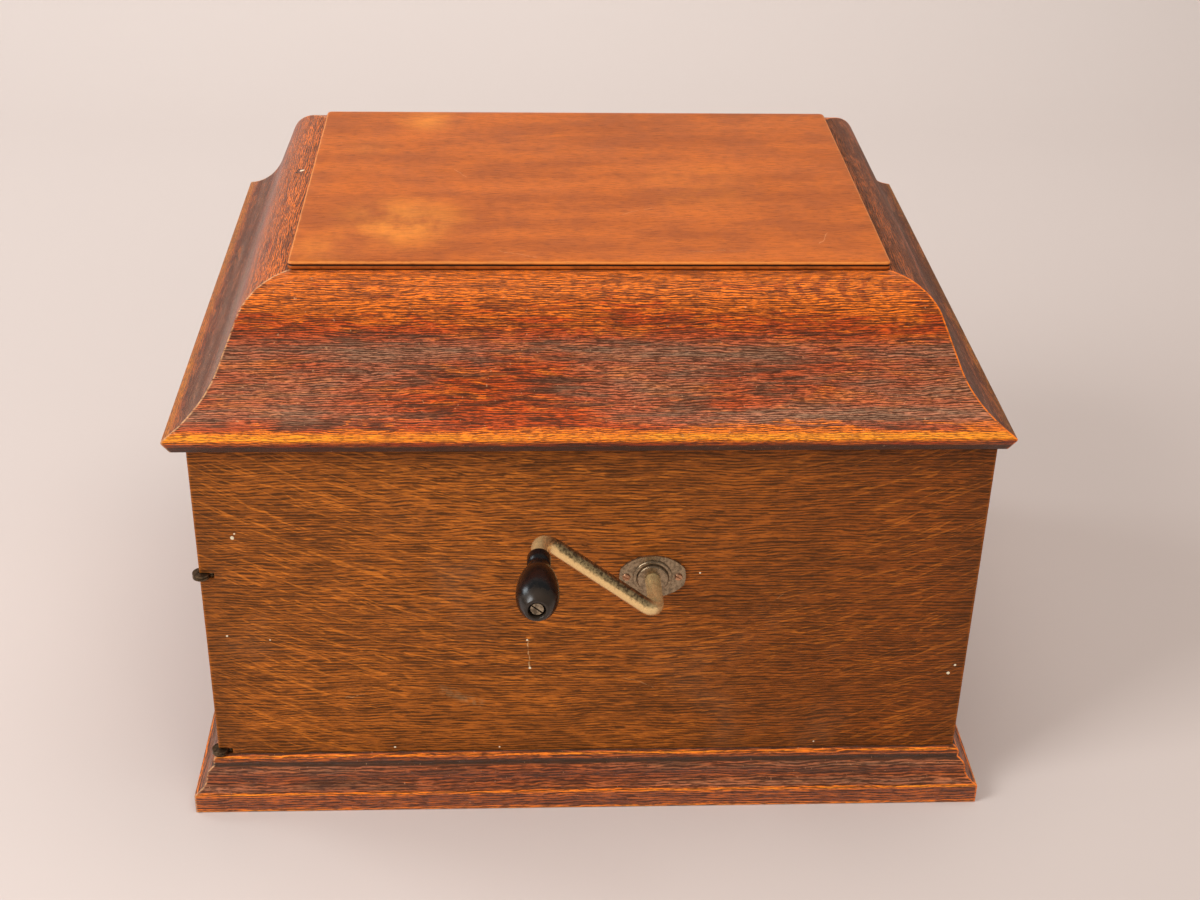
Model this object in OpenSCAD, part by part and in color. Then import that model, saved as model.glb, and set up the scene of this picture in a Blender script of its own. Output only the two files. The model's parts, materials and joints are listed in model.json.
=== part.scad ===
// Tabletop gramophone: oak case with an ogee lid, a spring motor wound by a crank
// in the right side, a tonearm over the turntable and a horn behind two doors.
// Millimetres, +Z up, front towards -Y, crank towards +X, origin under the base.

/* [Case] */
// Width of the case, left to right
case_w = 397; // [385:1:420]
// Depth of the case, front to back
case_d = 490; // [480:1:520]
// Height of the case from the table to the rim under the lid
case_h = 269.1; // [264:0.1:290]
// Thickness of the case panels and the front rail
panel_t = 14; // [12:0.5:16]
// Height of the front rail above the doors
front_rail_h = 89.5; // [84:0.5:94]
// Thickness of the bottom board
bottom_t = 13; // [10:0.5:16]
// Width of the ledge of the base that carries panels and bottom board
ledge_w = 34; // [32:1:40]

/* [Base moulding] */
// Height of the plain plinth under the cove
plinth_h = 14.2; // [12:0.1:17]
// Radius of the cove
base_cove_r = 9.3; // [8:0.1:11]
// Angle at which the cove leaves the plinth
base_cove_start = 79.5; // [75:0.5:85]
// Radius of the round above the cove
base_round_r = 6.4; // [5:0.1:8]
// Sweep of the round above the cove
base_round_sweep = 74; // [65:1:80]
// Height of the small upright between round and bead
base_fillet_h = 3.9; // [3:0.1:5]
// Radius of the bead against the case
base_bead_r = 3.6; // [3:0.1:4.5]

/* [Lid] */
// How far the lid stands out past the case at each side
lid_over = 10; // [8:0.5:12]
// How much further the lid stands out in front than at the back
lid_shift = 4; // [2:0.5:5]
// Height of the lid's nose above its underside
nose_h = 9.6; // [8:0.1:11]
// Depth of the chamfer under the nose
nose_chamfer = 4.1; // [3:0.1:6]
// Radius of the hollow of the ogee
ogee_cove_r = 60; // [54:1:64]
// Radius of the round of the ogee
ogee_round_r = 29; // [26:1:32]
// Slope of the ogee at its nose, in degrees
lip_slope = 24; // [20:1:28]
// Slope of the ogee at its middle, in degrees
wall_slope = 67; // [64:1:69]
// Length of the straight between hollow and round
ogee_straight = 31.4; // [28:0.2:34]
// Width of the flat inside the ogee that carries the top board
lid_flat_w = 22; // [18:1:28]
// Thickness of the lid rails at their straight
lid_wall = 12; // [10:0.5:14]
// Thickness of the lid rails at their flat
lid_flat_t = 17; // [15:0.5:18]
// Margin from the end of the round to the top board
top_board_margin = 1.9; // [1:0.1:4]
// Thickness of the top board
top_board_t = 5.5; // [4:0.1:8]

/* [Motor board and motor] */
// Depth of the motor board below the rim
board_drop = 47.1; // [45:0.1:49]
// Thickness of the motor board
board_t = 13; // [11:0.5:14]
// Place of the spindle behind the middle of the case
spindle_y = -40; // [-44:1:-36]
// Height of the motor from the motor board to the bottom plate's underside
motor_h = 91; // [89:0.5:93]
// Thickness of the motor plates
plate_t = 4; // [3:0.5:5]
// Depth of the winding shaft below the motor board
crank_drop = 33.5; // [32:0.5:35]
// Place of the winding shaft behind the middle of the case
crank_y = 37.1; // [34:0.1:40]
// Radius of the winding shaft
winding_r = 5; // [4.5:0.1:5.5]
// Radius of the spindle in its bearings
spindle_r = 4; // [3.5:0.1:4.5]
// Outer radius of the spring barrel
barrel_r = 42; // [38:1:46]
// Height of the spring barrel
barrel_h = 24; // [20:1:25]
// Radius of the governor balls
ball_r = 6; // [4:0.5:6.5]

/* [Turntable] */
// Diameter of the turntable
turntable_d = 254; // [240:1:260]
// Height of the felt's top above the motor board
felt_height = 20; // [18:0.5:21]
// Height of the turntable's rim
turntable_rim_h = 12; // [9:0.5:13]
// Thickness of the turntable's plate
turntable_t = 2; // [1.5:0.1:3]
// Thickness of the felt
felt_t = 1.5; // [1:0.1:2.5]
// Radius of the centre pin that a record slips over
record_pin_r = 3.6; // [3:0.1:3.6]
// Height of the centre pin above the felt
record_pin_h = 12; // [8:0.5:13]

/* [Tonearm] */
// Place of the tonearm's pivot to the right of the spindle
arm_x = 100; // [96:1:104]
// Place of the tonearm's pivot behind the spindle
arm_y = 190; // [186:1:194]
// Height of the tonearm's axis above the felt
arm_height = 40; // [38:0.5:42]
// Distance from the tonearm's pivot to the sound box's centre
arm_len = 200; // [196:1:204]
// Angle of the parked tonearm, outwards from straight forwards
park_angle = 6.2; // [5:0.1:8]
// Radius of the sound box
sound_box_r = 26; // [24:0.5:27]
// Thickness of the sound box
sound_box_t = 12; // [10:0.5:13]
// Tilt of the sound box, needle forwards
needle_tilt = 20; // [16:1:24]
// Reach of the needle from the sound box's centre
needle_reach = 39.5; // [38:0.5:40]

/* [Horn] */
// Width of the horn's mouth
mouth_w = 320; // [300:5:330]
// Gap between the mouth's edges and the door opening, above and below
mouth_margin = 14; // [12:1:18]
// Thickness of the horn's boards
horn_t = 6; // [4:0.5:7]
// Width and height of the horn's square throat inside
throat_w = 44; // [40:1:48]
// Radius of the horn elbow's bore
elbow_r = 16; // [14:0.5:17]

/* [Crank] */
// Radius of the crank's rod
rod_r = 4.9; // [4:0.1:5]
// Distance from the case's side to the arm's axis
crank_out = 41; // [38:0.5:46]
// Length of the crank's arm, axis to axis
crank_len = 90.6; // [80:0.1:96]
// Angle of the arm above the horizontal, towards the front
crank_angle = 37.9; // [30:0.1:45]
// Bend radius of the rod's axis
bend_r = 11; // [9:0.5:13]
// Lean of the knob away from the shaft, in degrees
knob_lean = 2.5; // [0:0.5:4]
// Largest radius of the knob
knob_r = 12.4; // [11:0.1:14]
// Length of the knob
knob_len = 56; // [50:0.5:60]
// Radius of the rod's bend at the knob
knob_bend_r = 14; // [11:0.5:16]
// Radius of the lower step of the escutcheon's boss
boss_r = 12.4; // [11:0.1:13]
// Length of the oval escutcheon
escutcheon_w = 42; // [40:0.5:48]
// Height of the oval escutcheon
escutcheon_h = 31; // [29:0.5:36]
// Distance between the escutcheon's screws
escutcheon_pitch = 32.8; // [31:0.1:35]

/* [Doors and hinges] */
// Gap round the doors
door_gap = 0.6; // [0.4:0.1:1]
// Thickness of the hinge leaves
leaf_t = 1.6; // [1.2:0.1:2]
// Radius of the round ends of the door pivots
leaf_r = 5.5; // [5:0.1:6]
// Length of the door pivots' tongues
leaf_len = 34; // [28:1:40]
// Radius of the knuckles of the lid hinges
knuckle_r = 3.6; // [3.2:0.1:3.7]
// Distance from the middle to each lid hinge
lid_hinge_x = 120; // [100:1:140]
// Radius of the quadrant stay
stay_r = 150; // [145:1:155]

/* [Fits] */
// Radial clearance of shafts in their bores
fit = 0.05; // [0.03:0.01:0.08]
// Gap between parts that move past each other
gap = 0.3; // [0.3:0.05:0.4]
// Glue line between mitred rails
glue = 0.1; // [0.05:0.01:0.2]

/* [Hidden] */

$fn = 48;

oak = "#7a4420";
oak_dark = "#5a2a14";
oak_inside = "#a9743f";
brass = "#b08d4a";
nickel = "#a39a86";
steel = "#8d9096";
iron = "#3a3a3c";
black = "#17171a";
green = "#2f5140";

// Case planes
half_w = case_w / 2;
half_d = case_d / 2;
in_x = half_w - panel_t;
in_y = half_d - panel_t;
rim_z = case_h;
lid_z = rim_z + gap;

// Longer than any piece, for cuts that go right through
far = 400;

// Base moulding: its profile's steps inwards (t) and upwards (z)
cove_out = base_cove_r * (1 - cos(base_cove_start));
cove_z = plinth_h + base_cove_r * sin(base_cove_start);
round_end = 180 - base_round_sweep;
round_in = cove_out + base_round_r * (1 + cos(round_end));
round_z = cove_z + base_round_r * sin(round_end);
base_out = round_in + base_bead_r;
base_h = round_z + base_fillet_h + base_bead_r;
base_w = case_w + 2 * base_out;
base_d = case_d + 2 * base_out;
ledge_z = base_h - bottom_t;

// Lid: size over its nose, and its ogee's arcs in steps inwards (t) and upwards (z)
lid_w = case_w + 2 * lid_over;
lid_d = case_d + 2 * lid_over;
lid_y = -lid_shift / 2;
ogee_cove_c = [-ogee_cove_r * sin(lip_slope), nose_h + ogee_cove_r * cos(lip_slope)];
ogee_low = ogee_cove_c + ogee_cove_r * [sin(wall_slope), -cos(wall_slope)];
ogee_high = ogee_low + ogee_straight * [cos(wall_slope), sin(wall_slope)];
ogee_round_c = ogee_high + ogee_round_r * [sin(wall_slope), -cos(wall_slope)];
ogee_top = ogee_round_c[1] + ogee_round_r;
lid_in = ogee_round_c[0] + lid_flat_w;
lid_wall_in = ogee_high + lid_wall * [sin(wall_slope), -cos(wall_slope)];
lid_ceiling = ogee_top - lid_flat_t;
top_board_in = ogee_round_c[0] + top_board_margin;
// Step inwards of the lid's inner slope at a height above the lid's underside
function lid_inner_t(z) = lid_wall_in[0] + (z - lid_wall_in[1]) / tan(wall_slope);

// Motor board and what hangs from it
board_z = rim_z - board_drop;
board_under = board_z - board_t;
motor_z = board_under - motor_h;
plate_top = motor_z + plate_t;
top_plate_z = board_under - plate_t;
crank_z = board_under - crank_drop;
spindle_xy = [0, spindle_y];

// Gear train: teeth and modules, from the winding pinion to the governor's worm
winding_teeth = 12;
winding_module = 2;
crown_teeth = 30;
crown_r = crown_teeth * winding_module / 2;
crown_face = 6;
barrel_teeth = 80;
low_pinion_teeth = 16;
barrel_module = 1.6;
big_teeth = 60;
spindle_teeth = 12;
spindle_module = 1.25;
wheel_teeth = 24;
wheel_module = 1.5;
worm_r = 5;
worm_lead = PI * wheel_module;
tooth_h = 0.9;
crown_z = crank_z - winding_teeth * winding_module / 2;
train_angle = 160;
train_xy = spindle_xy
    + (big_teeth + spindle_teeth) * spindle_module / 2 * [cos(train_angle), sin(train_angle)];
barrel_reach = (barrel_teeth + low_pinion_teeth) * barrel_module / 2;
barrel_rise = crank_y - train_xy[1];
barrel_xy = [train_xy[0] + sqrt(barrel_reach * barrel_reach - barrel_rise * barrel_rise), crank_y];
barrel_angle = atan2(barrel_xy[1] - train_xy[1], barrel_xy[0] - train_xy[0]);
barrel_z = plate_top + 6;
barrel_gear_t = 4;
big_gear_z = crank_z + 9.5;
pinion_x = barrel_xy[0] + crown_r;
worm_y = spindle_y - wheel_teeth * wheel_module / 2 - worm_r;
worm_z = crank_z - 8.5;
governor_ball_x = 42;
disc_x = 66;
disc_r = 15;
disc_t = 2.5;

// Turntable
felt_z = board_z + felt_height;
turntable_r = turntable_d / 2;

// Tonearm: pivot, axis height and the sound box's centre in the arm's own frame
pivot_xy = spindle_xy + [arm_x, arm_y];
arm_z = felt_z + arm_height;
arm_tube_r = 8.5;
neck_bend = 12;
neck_reach = 36;
neck_in = 18;
box_back = neck_bend + 3;

// Horn and elbow
mouth_low = base_h + mouth_margin;
door_top = rim_z - front_rail_h;
mouth_high = door_top - mouth_margin;
mouth_y = -in_y + 1.5;
frame_t = 8;
horn_front = mouth_y + frame_t;
elbow_wall = 3;
flange_t = 4;
floor_t = 4;
motor_clear = 13;
elbow_bend = 30;
elbow_z = base_h + floor_t + throat_w / 2;
throat_y = pivot_xy[1] - elbow_bend;

// Doors: pivots stand at the case's front corners
door_pivot = [half_w - 1.5, -half_d + 1];
leaf_pin_r = 1.5;
leaf_w = 8;
door_low = base_h + leaf_t + gap;
door_high = door_top - leaf_t - gap;

// Lid hinges and stay
hinge_y = half_d + knuckle_r + 0.6;
hinge_z = lid_z - knuckle_r - 0.4;
hinge_pin_r = 1.5;
hinge_half = 16;
hinge_plate_h = 28;
hinge_plate_t = 2;
knuckle_half = 6;
knuckle_len = hinge_half - knuckle_half - gap;
leaf_root = 1.8;
stay_w = 8;
stay_t = 3;
stay_x = -(lid_w / 2 - lid_inner_t(0) - 3.8);
stay_start = -2;
stay_end = 70;

// Screws
screw_head_r = 3.6;

// Points of an arc about c
function arc(c, r, a0, a1, n = 10) =
    [for (i = [0:n]) let (a = a0 + (a1 - a0) * i / n) [c[0] + r * cos(a), c[1] + r * sin(a)]];

// Outline of a straight-sided spur gear with a tooth centred on +X
function gear_points(teeth, module_size, thick = 0.44) =
    let (r = teeth * module_size / 2, pitch = 360 / teeth)
    let (root = r - 1.2 * module_size, tip = r + tooth_h * module_size)
    [for (i = [0:teeth - 1], k = [[root, -0.5 * thick - 0.1], [tip, -0.5 * thick + 0.12],
                                  [tip, 0.5 * thick - 0.12], [root, 0.5 * thick + 0.1]])
        let (a = (i + k[1]) * pitch) k[0] * [cos(a), sin(a)]];

// A spur gear of a given height with its underside at z = 0
module gear(teeth, module_size, height) {
    linear_extrude(height)
        polygon(gear_points(teeth, module_size));
}

// A bar with its axis along +X from the place given
module bar_x(r, length) {
    rotate([0, 90, 0])
        cylinder(r = r, h = length);
}

// A box between two corners
module box(low, high) {
    translate(low)
        cube(high - low);
}

// A plate with round corners, centred in X and Y
module round_plate(size, r, height) {
    linear_extrude(height)
        union() {
            square([size[0], size[1] - 2 * r], center = true);
            square([size[0] - 2 * r, size[1]], center = true);
            for (sx = [-1, 1], sy = [-1, 1])
                translate([sx * (size[0] / 2 - r), sy * (size[1] / 2 - r)])
                    circle(r);
        }
}

// Four mitred rails of a frame, w by d over their outer faces. The profile gives steps
// inwards from the outer face and upwards, and reaches no further in than reach.
module mitred_frame(w, d, reach, profile) {
    for (turn = [0:3]) {
        across = turn % 2 == 0 ? w : d;
        along = turn % 2 == 0 ? d : w;
        rotate([0, 0, 90 * turn])
            intersection() {
                translate([across / 2, along / 2, 0])
                    rotate([90, 0, 0])
                        linear_extrude(along)
                            polygon([for (p = profile) [-p[0], p[1]]]);
                translate([0, 0, -1])
                    linear_extrude(far)
                        polygon([[across / 2 + 1, along / 2 + 1 - glue],
                                 [across / 2 - reach - 1, along / 2 - reach - 1 - glue],
                                 [across / 2 - reach - 1, -along / 2 + reach + 1 + glue],
                                 [across / 2 + 1, -along / 2 - 1 + glue]]);
            }
    }
}

// Base moulding and case

module base_moulding() {
    bead_c = [base_out, round_z + base_fillet_h];
    profile = concat([[0, 0]],
                     arc([cove_out - base_cove_r, cove_z], base_cove_r, -base_cove_start, 0, 8),
                     arc([cove_out + base_round_r, cove_z], base_round_r, 180, round_end, 6),
                     arc(bead_c, base_bead_r, 180, 90, 6),
                     [[base_out, ledge_z], [ledge_w, ledge_z], [ledge_w, 0]]);
    color(oak_dark)
        mitred_frame(base_w, base_d, ledge_w, profile);
}

// Room for a door pivot in the case's front corner, for the right side
module pivot_notches() {
    for (z = [base_h, door_top - 2 * leaf_t - 2 * gap])
        box([in_x - 1, -half_d - 1, z - (z == base_h ? 1 : 0)],
            [half_w + 1, door_pivot[1] + leaf_w, z + 2 * leaf_t + 2 * gap]);
}

module side_panel(crank_bore) {
    difference() {
        box([in_x, -half_d, ledge_z], [half_w, half_d, rim_z]);
        pivot_notches();
        if (crank_bore)
            translate([in_x - 1, crank_y, crank_z])
                bar_x(winding_r + 2, panel_t + 2);
    }
}

module side_panel_right() {
    color(oak)
        side_panel(true);
}

module side_panel_left() {
    color(oak)
        mirror([1, 0, 0])
            side_panel(false);
}

module back_panel() {
    color(oak)
        box([-in_x, in_y, ledge_z], [in_x, half_d, rim_z]);
}

module front_rail() {
    color(oak)
        box([-in_x, -half_d, door_top], [in_x, -in_y, rim_z]);
}

module bottom_board() {
    color(oak_inside)
        box([-in_x, -half_d, ledge_z], [in_x, in_y, base_h]);
}

// Strips that carry the motor board. The left one leaves room for the stay.
module board_cleats() {
    cleat_w = 9;
    cleat_h = 14;
    stay_gap = [hinge_y - stay_r + 2, hinge_y - stay_r + 44];
    color(oak_inside) {
        box([in_x - cleat_w, -in_y, board_under - cleat_h], [in_x, in_y, board_under]);
        box([-in_x, -in_y, board_under - cleat_h], [-in_x + cleat_w, stay_gap[0], board_under]);
        box([-in_x, stay_gap[1], board_under - cleat_h], [-in_x + cleat_w, in_y, board_under]);
    }
}

// Motor board

cup_places = [[in_x - 32, -in_y + 32], [-in_x + 32, -in_y + 32]];
cup_r = 14;
regulator_xy = [in_x - 56, -in_y + 80];
stem_r = 4;
dial_r = 20;
dial_t = 1;
pointer_t = 3;
pointer_w = 4;
pointer_len = 24;
pointer_hub_r = 7;
brake_angle = 222;
brake_pivot = spindle_xy + (turntable_r + 14) * [cos(brake_angle), sin(brake_angle)];
bracket_screw_ring = 27;
motor_w = 186;
motor_d = 186;
motor_c = [5, -5];
motor_edge = 10;
motor_screws = [for (sx = [-1, 1], sy = [-1, 1])
    motor_c + [sx * (motor_w / 2 - motor_edge), sy * (motor_d / 2 - motor_edge)]];

module motor_board() {
    side_gap = 0.3;
    color(oak_inside)
        difference() {
            box([-in_x + side_gap, -in_y + side_gap, board_under],
                [in_x - side_gap, in_y - side_gap, board_z]);
            translate([spindle_xy[0], spindle_xy[1], board_under - 1])
                cylinder(r = spindle_r + 4, h = board_t + 2);
            translate([pivot_xy[0], pivot_xy[1], board_under - 1])
                cylinder(r = elbow_r + elbow_wall, h = board_t + 2);
            for (p = cup_places)
                translate([p[0], p[1], board_under - 1])
                    cylinder(r = cup_r, h = board_t + 2);
            translate([regulator_xy[0], regulator_xy[1], board_under - 1])
                cylinder(r = stem_r + fit, h = board_t + 2);
            translate([brake_pivot[0], brake_pivot[1], board_under - 1])
                cylinder(r = brake_stem_r + fit, h = board_t + 2);
            for (p = motor_screws)
                translate([p[0], p[1], board_under - 1])
                    cylinder(r = 2.1, h = board_t + 2);
            box([stay_x - stay_t - 2, hinge_y - stay_r, board_under - 1],
                [stay_x + 2, hinge_y - stay_r + 20, board_z + 1]);
        }
}

module screw(head_r, head_h, shank_r, length) {
    difference() {
        union() {
            cylinder(r1 = head_r, r2 = head_r * 0.8, h = head_h);
            translate([0, 0, -length])
                cylinder(r = shank_r, h = length);
        }
        translate([-head_r, -0.4, head_h * 0.45])
            cube([2 * head_r, 0.8, head_h]);
    }
}

// Screws that hold the tonearm bracket and the motor's top plate to the board
module board_screws() {
    color(brass) {
        for (a = [90, 210, 330])
            translate([pivot_xy[0] + bracket_screw_ring * cos(a),
                       pivot_xy[1] + bracket_screw_ring * sin(a), board_z + bracket_plate_t])
                screw(screw_head_r, 1.6, 0.9, 2.8);
        for (p = motor_screws)
            translate([p[0], p[1], board_z])
                screw(screw_head_r + 0.6, 1.6, 2, board_t);
    }
}

module needle_cups() {
    color(brass)
        for (p = cup_places)
            translate([p[0], p[1], board_z])
                rotate_extrude()
                    polygon([[0, -board_t + 1], [cup_r - 0.1, -board_t + 1], [cup_r - 0.1, 0],
                             [cup_r + 3, 0], [cup_r + 3, 1], [cup_r - 1.4, 1.4],
                             [cup_r - 1.4, -board_t + 4], [cup_r - 3.4, -board_t + 2.4],
                             [0, -board_t + 2.4]]);
}

module regulator_dial() {
    color(nickel)
        translate([regulator_xy[0], regulator_xy[1], board_z])
            difference() {
                cylinder(r = dial_r, h = dial_t);
                translate([0, 0, -1])
                    cylinder(r = stem_r + 0.5, h = dial_t + 2);
            }
}

// Horn, its mouth and its elbow

// Stations of the horn from its throat to its mouth, and its inner faces at each of them
horn_end = throat_y - elbow_r;
horn_bend = 30;
horn_mid = motor_c[1] - motor_d / 2;
horn_rise = 20;
horn_high = motor_z - motor_clear - horn_t;
horn_y = [horn_end, horn_bend, horn_mid, horn_mid - horn_rise, horn_front];
horn_left = [pivot_xy[0] - throat_w / 2, pivot_xy[0] - throat_w * 2, -mouth_w / 2 + 65,
             -mouth_w / 2 + 54, -mouth_w / 2];
horn_right = [pivot_xy[0] + throat_w / 2, pivot_xy[0] + throat_w / 2 + 10, mouth_w / 2,
              mouth_w / 2, mouth_w / 2];
horn_floor = [for (y = horn_y)
    let (share = (horn_end - y) / (horn_end - horn_front))
        base_h + floor_t + (mouth_low - base_h - floor_t) * share];
horn_roof = [base_h + floor_t + throat_w, horn_high - 6, horn_high, horn_high + 1.5 * horn_rise,
             mouth_high];

function shifted(list, by) = [for (value = list) value + by];

// One board between station i and the next: its left and right faces, its under and upper
module horn_board(i, left, right, low, high) {
    back = horn_y[i] - (i == 0 ? 0 : glue / 2);
    front = horn_y[i + 1] + (i == len(horn_y) - 2 ? 0 : glue / 2);
    intersection() {
        linear_extrude(far)
            polygon([[left[i], back], [right[i], back], [right[i + 1], front], [left[i + 1], front]]);
        translate([-far / 2, 0, 0])
            rotate([90, 0, 90])
                linear_extrude(far)
                    polygon([[back, low[i]], [back, high[i]], [front, high[i + 1]],
                             [front, low[i + 1]]]);
    }
}

// Built of thin boards, four to a length: side walls with the floor and the roof between them
module horn() {
    under = shifted(horn_floor, -floor_t);
    top = shifted(horn_roof, horn_t);
    inner_left = shifted(horn_left, glue);
    inner_right = shifted(horn_right, -glue);
    color(oak_inside)
        for (i = [0:len(horn_y) - 2]) {
            horn_board(i, shifted(horn_left, -horn_t), horn_left, under, top);
            horn_board(i, horn_right, shifted(horn_right, horn_t), under, top);
            horn_board(i, inner_left, inner_right, under, horn_floor);
            horn_board(i, inner_left, inner_right, horn_roof, top);
        }
}

module horn_mouth_frame() {
    color(oak_inside)
        difference() {
            box([-in_x + 0.3, mouth_y, base_h], [in_x - 0.3, horn_front, door_top + 10]);
            box([-mouth_w / 2, mouth_y - 1, mouth_low], [mouth_w / 2, horn_front + 1, mouth_high]);
        }
}

// Iron elbow that leads the sound from under the tonearm forwards into the throat
module horn_elbow() {
    outer = elbow_r + elbow_wall;
    color(iron)
        translate([pivot_xy[0], pivot_xy[1], 0])
            difference() {
                union() {
                    translate([0, 0, elbow_z + elbow_bend])
                        cylinder(r = outer, h = board_under - elbow_z - elbow_bend);
                    translate([0, 0, board_under - flange_t])
                        cylinder(r = outer + 9, h = flange_t);
                    translate([0, -elbow_bend, elbow_z + elbow_bend])
                        rotate([0, -90, 0])
                            rotate([0, 0, 90])
                                rotate_extrude(angle = 90)
                                    translate([elbow_bend, 0])
                                        circle(outer);
                    translate([0, -elbow_bend, elbow_z])
                        rotate([90, 0, 0])
                            cylinder(r = outer, h = elbow_r - flange_t);
                    box([-throat_w / 2 - horn_t, -elbow_bend - elbow_r,
                         elbow_z - throat_w / 2 - floor_t],
                        [throat_w / 2 + horn_t, -elbow_bend - elbow_r + flange_t,
                         elbow_z + throat_w / 2 + horn_t]);
                }
                translate([0, 0, elbow_z + elbow_bend])
                    cylinder(r = elbow_r, h = far);
                translate([0, -elbow_bend, elbow_z + elbow_bend])
                    rotate([0, -90, 0])
                        rotate([0, 0, 90])
                            rotate_extrude(angle = 90)
                                translate([elbow_bend, 0])
                                    circle(elbow_r);
                translate([0, -elbow_bend, elbow_z])
                    rotate([90, 0, 0])
                        cylinder(r = elbow_r, h = far);
            }
}

// Motor

module motor_plate() {
    translate([motor_c[0], motor_c[1], 0])
        round_plate([motor_w, motor_d], 12, plate_t);
}

module motor_top_plate() {
    color(iron)
        translate([0, 0, top_plate_z])
            difference() {
                motor_plate();
                for (hole = [[spindle_xy, spindle_r], [train_xy, 3], [barrel_xy, winding_r]])
                    translate([hole[0][0], hole[0][1], -1])
                        cylinder(r = hole[1] + fit, h = plate_t + 2);
            }
}

module motor_bottom_plate() {
    color(iron)
        translate([0, 0, motor_z])
            difference() {
                motor_plate();
                for (hole = [[spindle_xy, spindle_r], [train_xy, 3], [barrel_xy, winding_r]])
                    translate([hole[0][0], hole[0][1], -1])
                        cylinder(r = hole[1] + fit, h = plate_t + 2);
                translate([motor_c[0] - 55, motor_c[1] - 58, -1])
                    cylinder(r = 16, h = plate_t + 2);
            }
}

// Pillars between the motor's plates. The one that carries the friction lever has a collar.
pillar_r = 4;
module motor_pillars() {
    collar_t = 5;
    last = top_plate_z - plate_top - collar_t;
    under_lever = worm_z - lever_t / 2 - collar_t - gap - plate_top;
    color(steel)
        for (p = motor_screws)
            translate([p[0], p[1], plate_top])
                union() {
                    cylinder(r = pillar_r, h = top_plate_z - plate_top);
                    for (z = p == lever_xy ? [0, under_lever, last] : [0, last])
                        translate([0, 0, z])
                            cylinder(r = pillar_r + 2, h = collar_t);
                }
}

// Brackets with the bores of the winding shaft and the governor shaft
governor_r = 2.5;
governor_ends = [-20, 84];
module shaft_bearings() {
    color(brass) {
        difference() {
            union() {
                box([pinion_x + 10, crank_y - 11, crank_z], [pinion_x + 16, crank_y + 11, top_plate_z]);
                translate([pinion_x + 10, crank_y, crank_z])
                    bar_x(11, 6);
            }
            translate([pinion_x + 9, crank_y, crank_z])
                bar_x(winding_r + fit, 8);
        }
        for (x = governor_ends)
            difference() {
                union() {
                    box([x, worm_y - 6, plate_top], [x + 5, worm_y + 6, worm_z]);
                    translate([x, worm_y, worm_z])
                        bar_x(6, 5);
                }
                translate([x - 1, worm_y, worm_z])
                    bar_x(governor_r + fit, 7);
            }
    }
}

// Points of a helix about the X axis
function helix_point(r, pitch, a) = [pitch * a / 360, r * cos(a), r * sin(a)];

// A round wire wound about the X axis, with flat ends
module coil_x(r, wire_r, turns, pitch, steps = 20, sides = 6) {
    rings = turns * steps;
    lead = atan2(pitch, 2 * PI * r);
    points = [for (i = [0:rings], k = [0:sides - 1])
        let (a = i * 360 / steps, b = k * 360 / sides)
        let (c = helix_point(r, pitch, a), out = [0, cos(a), sin(a)])
        let (side = [cos(lead), sin(lead) * sin(a), -sin(lead) * cos(a)])
        c + wire_r * (cos(b) * out + sin(b) * side)];
    walls = [for (i = [0:rings - 1], k = [0:sides - 1])
        let (n = (k + 1) % sides, a = i * sides, b = a + sides)
        each [[a + k, b + n, a + n], [a + k, b + k, b + n]]];
    caps = [[for (k = [0:sides - 1]) k], [for (k = [sides - 1:-1:0]) rings * sides + k]];
    polyhedron(points, concat(walls, caps));
}

// Wrap spring that stops the winding shaft from running back
module backstop_spring() {
    wire_r = 0.8;
    color(steel)
        translate([pinion_x + 16 + wire_r, crank_y, crank_z])
            coil_x(winding_r + gap + wire_r, wire_r, 5, 2.1);
}

// Winding shaft with its pinion and the socket that takes the crank
socket_x = in_x - 50;
socket_depth = 15;
module winding_shaft() {
    start = pinion_x - crown_face / 2 - 3;
    color(steel)
        difference() {
            union() {
                translate([start, crank_y, crank_z])
                    bar_x(winding_r, socket_x - start + 1);
                translate([pinion_x - crown_face / 2, crank_y, crank_z])
                    rotate([0, 90, 0])
                        gear(winding_teeth, winding_module, crown_face);
                translate([socket_x, crank_y, crank_z])
                    bar_x(8, 30);
            }
            translate([socket_x + 30 - socket_depth, crank_y, crank_z])
                bar_x(rod_r + fit, socket_depth + 1);
        }
}

// Crown wheel on the arbor of the spring barrel: its teeth stand up under the pinion
module winding_wheel() {
    tooth_low = 2.2;
    tooth_high = 1.8;
    color(brass)
        translate([barrel_xy[0], barrel_xy[1], 0]) {
            translate([0, 0, motor_z])
                cylinder(r = winding_r, h = board_under - motor_z);
            translate([0, 0, crown_z - tooth_low - 4])
                cylinder(r = crown_r + 4, h = 4);
            for (i = [0:crown_teeth - 1])
                rotate([0, 0, (i + 0.5) * 360 / crown_teeth])
                    translate([crown_r - 4, 0, crown_z - tooth_low])
                        rotate([90, 0, 90])
                            linear_extrude(8)
                                polygon([[-1.5, -0.5], [1.5, -0.5], [0.7, tooth_low + tooth_high],
                                         [-0.7, tooth_low + tooth_high]]);
        }
}

module spring_barrel() {
    wall = 2.5;
    color(brass)
        translate([barrel_xy[0], barrel_xy[1], barrel_z])
            difference() {
                union() {
                    rotate([0, 0, barrel_angle + 180 / barrel_teeth])
                        gear(barrel_teeth, barrel_module, barrel_gear_t);
                    cylinder(r = barrel_r, h = barrel_h);
                }
                translate([0, 0, wall])
                    cylinder(r = barrel_r - wall, h = barrel_h - 2 * wall);
                translate([0, 0, -1])
                    cylinder(r = winding_r + fit, h = barrel_h + 2);
            }
}

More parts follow.
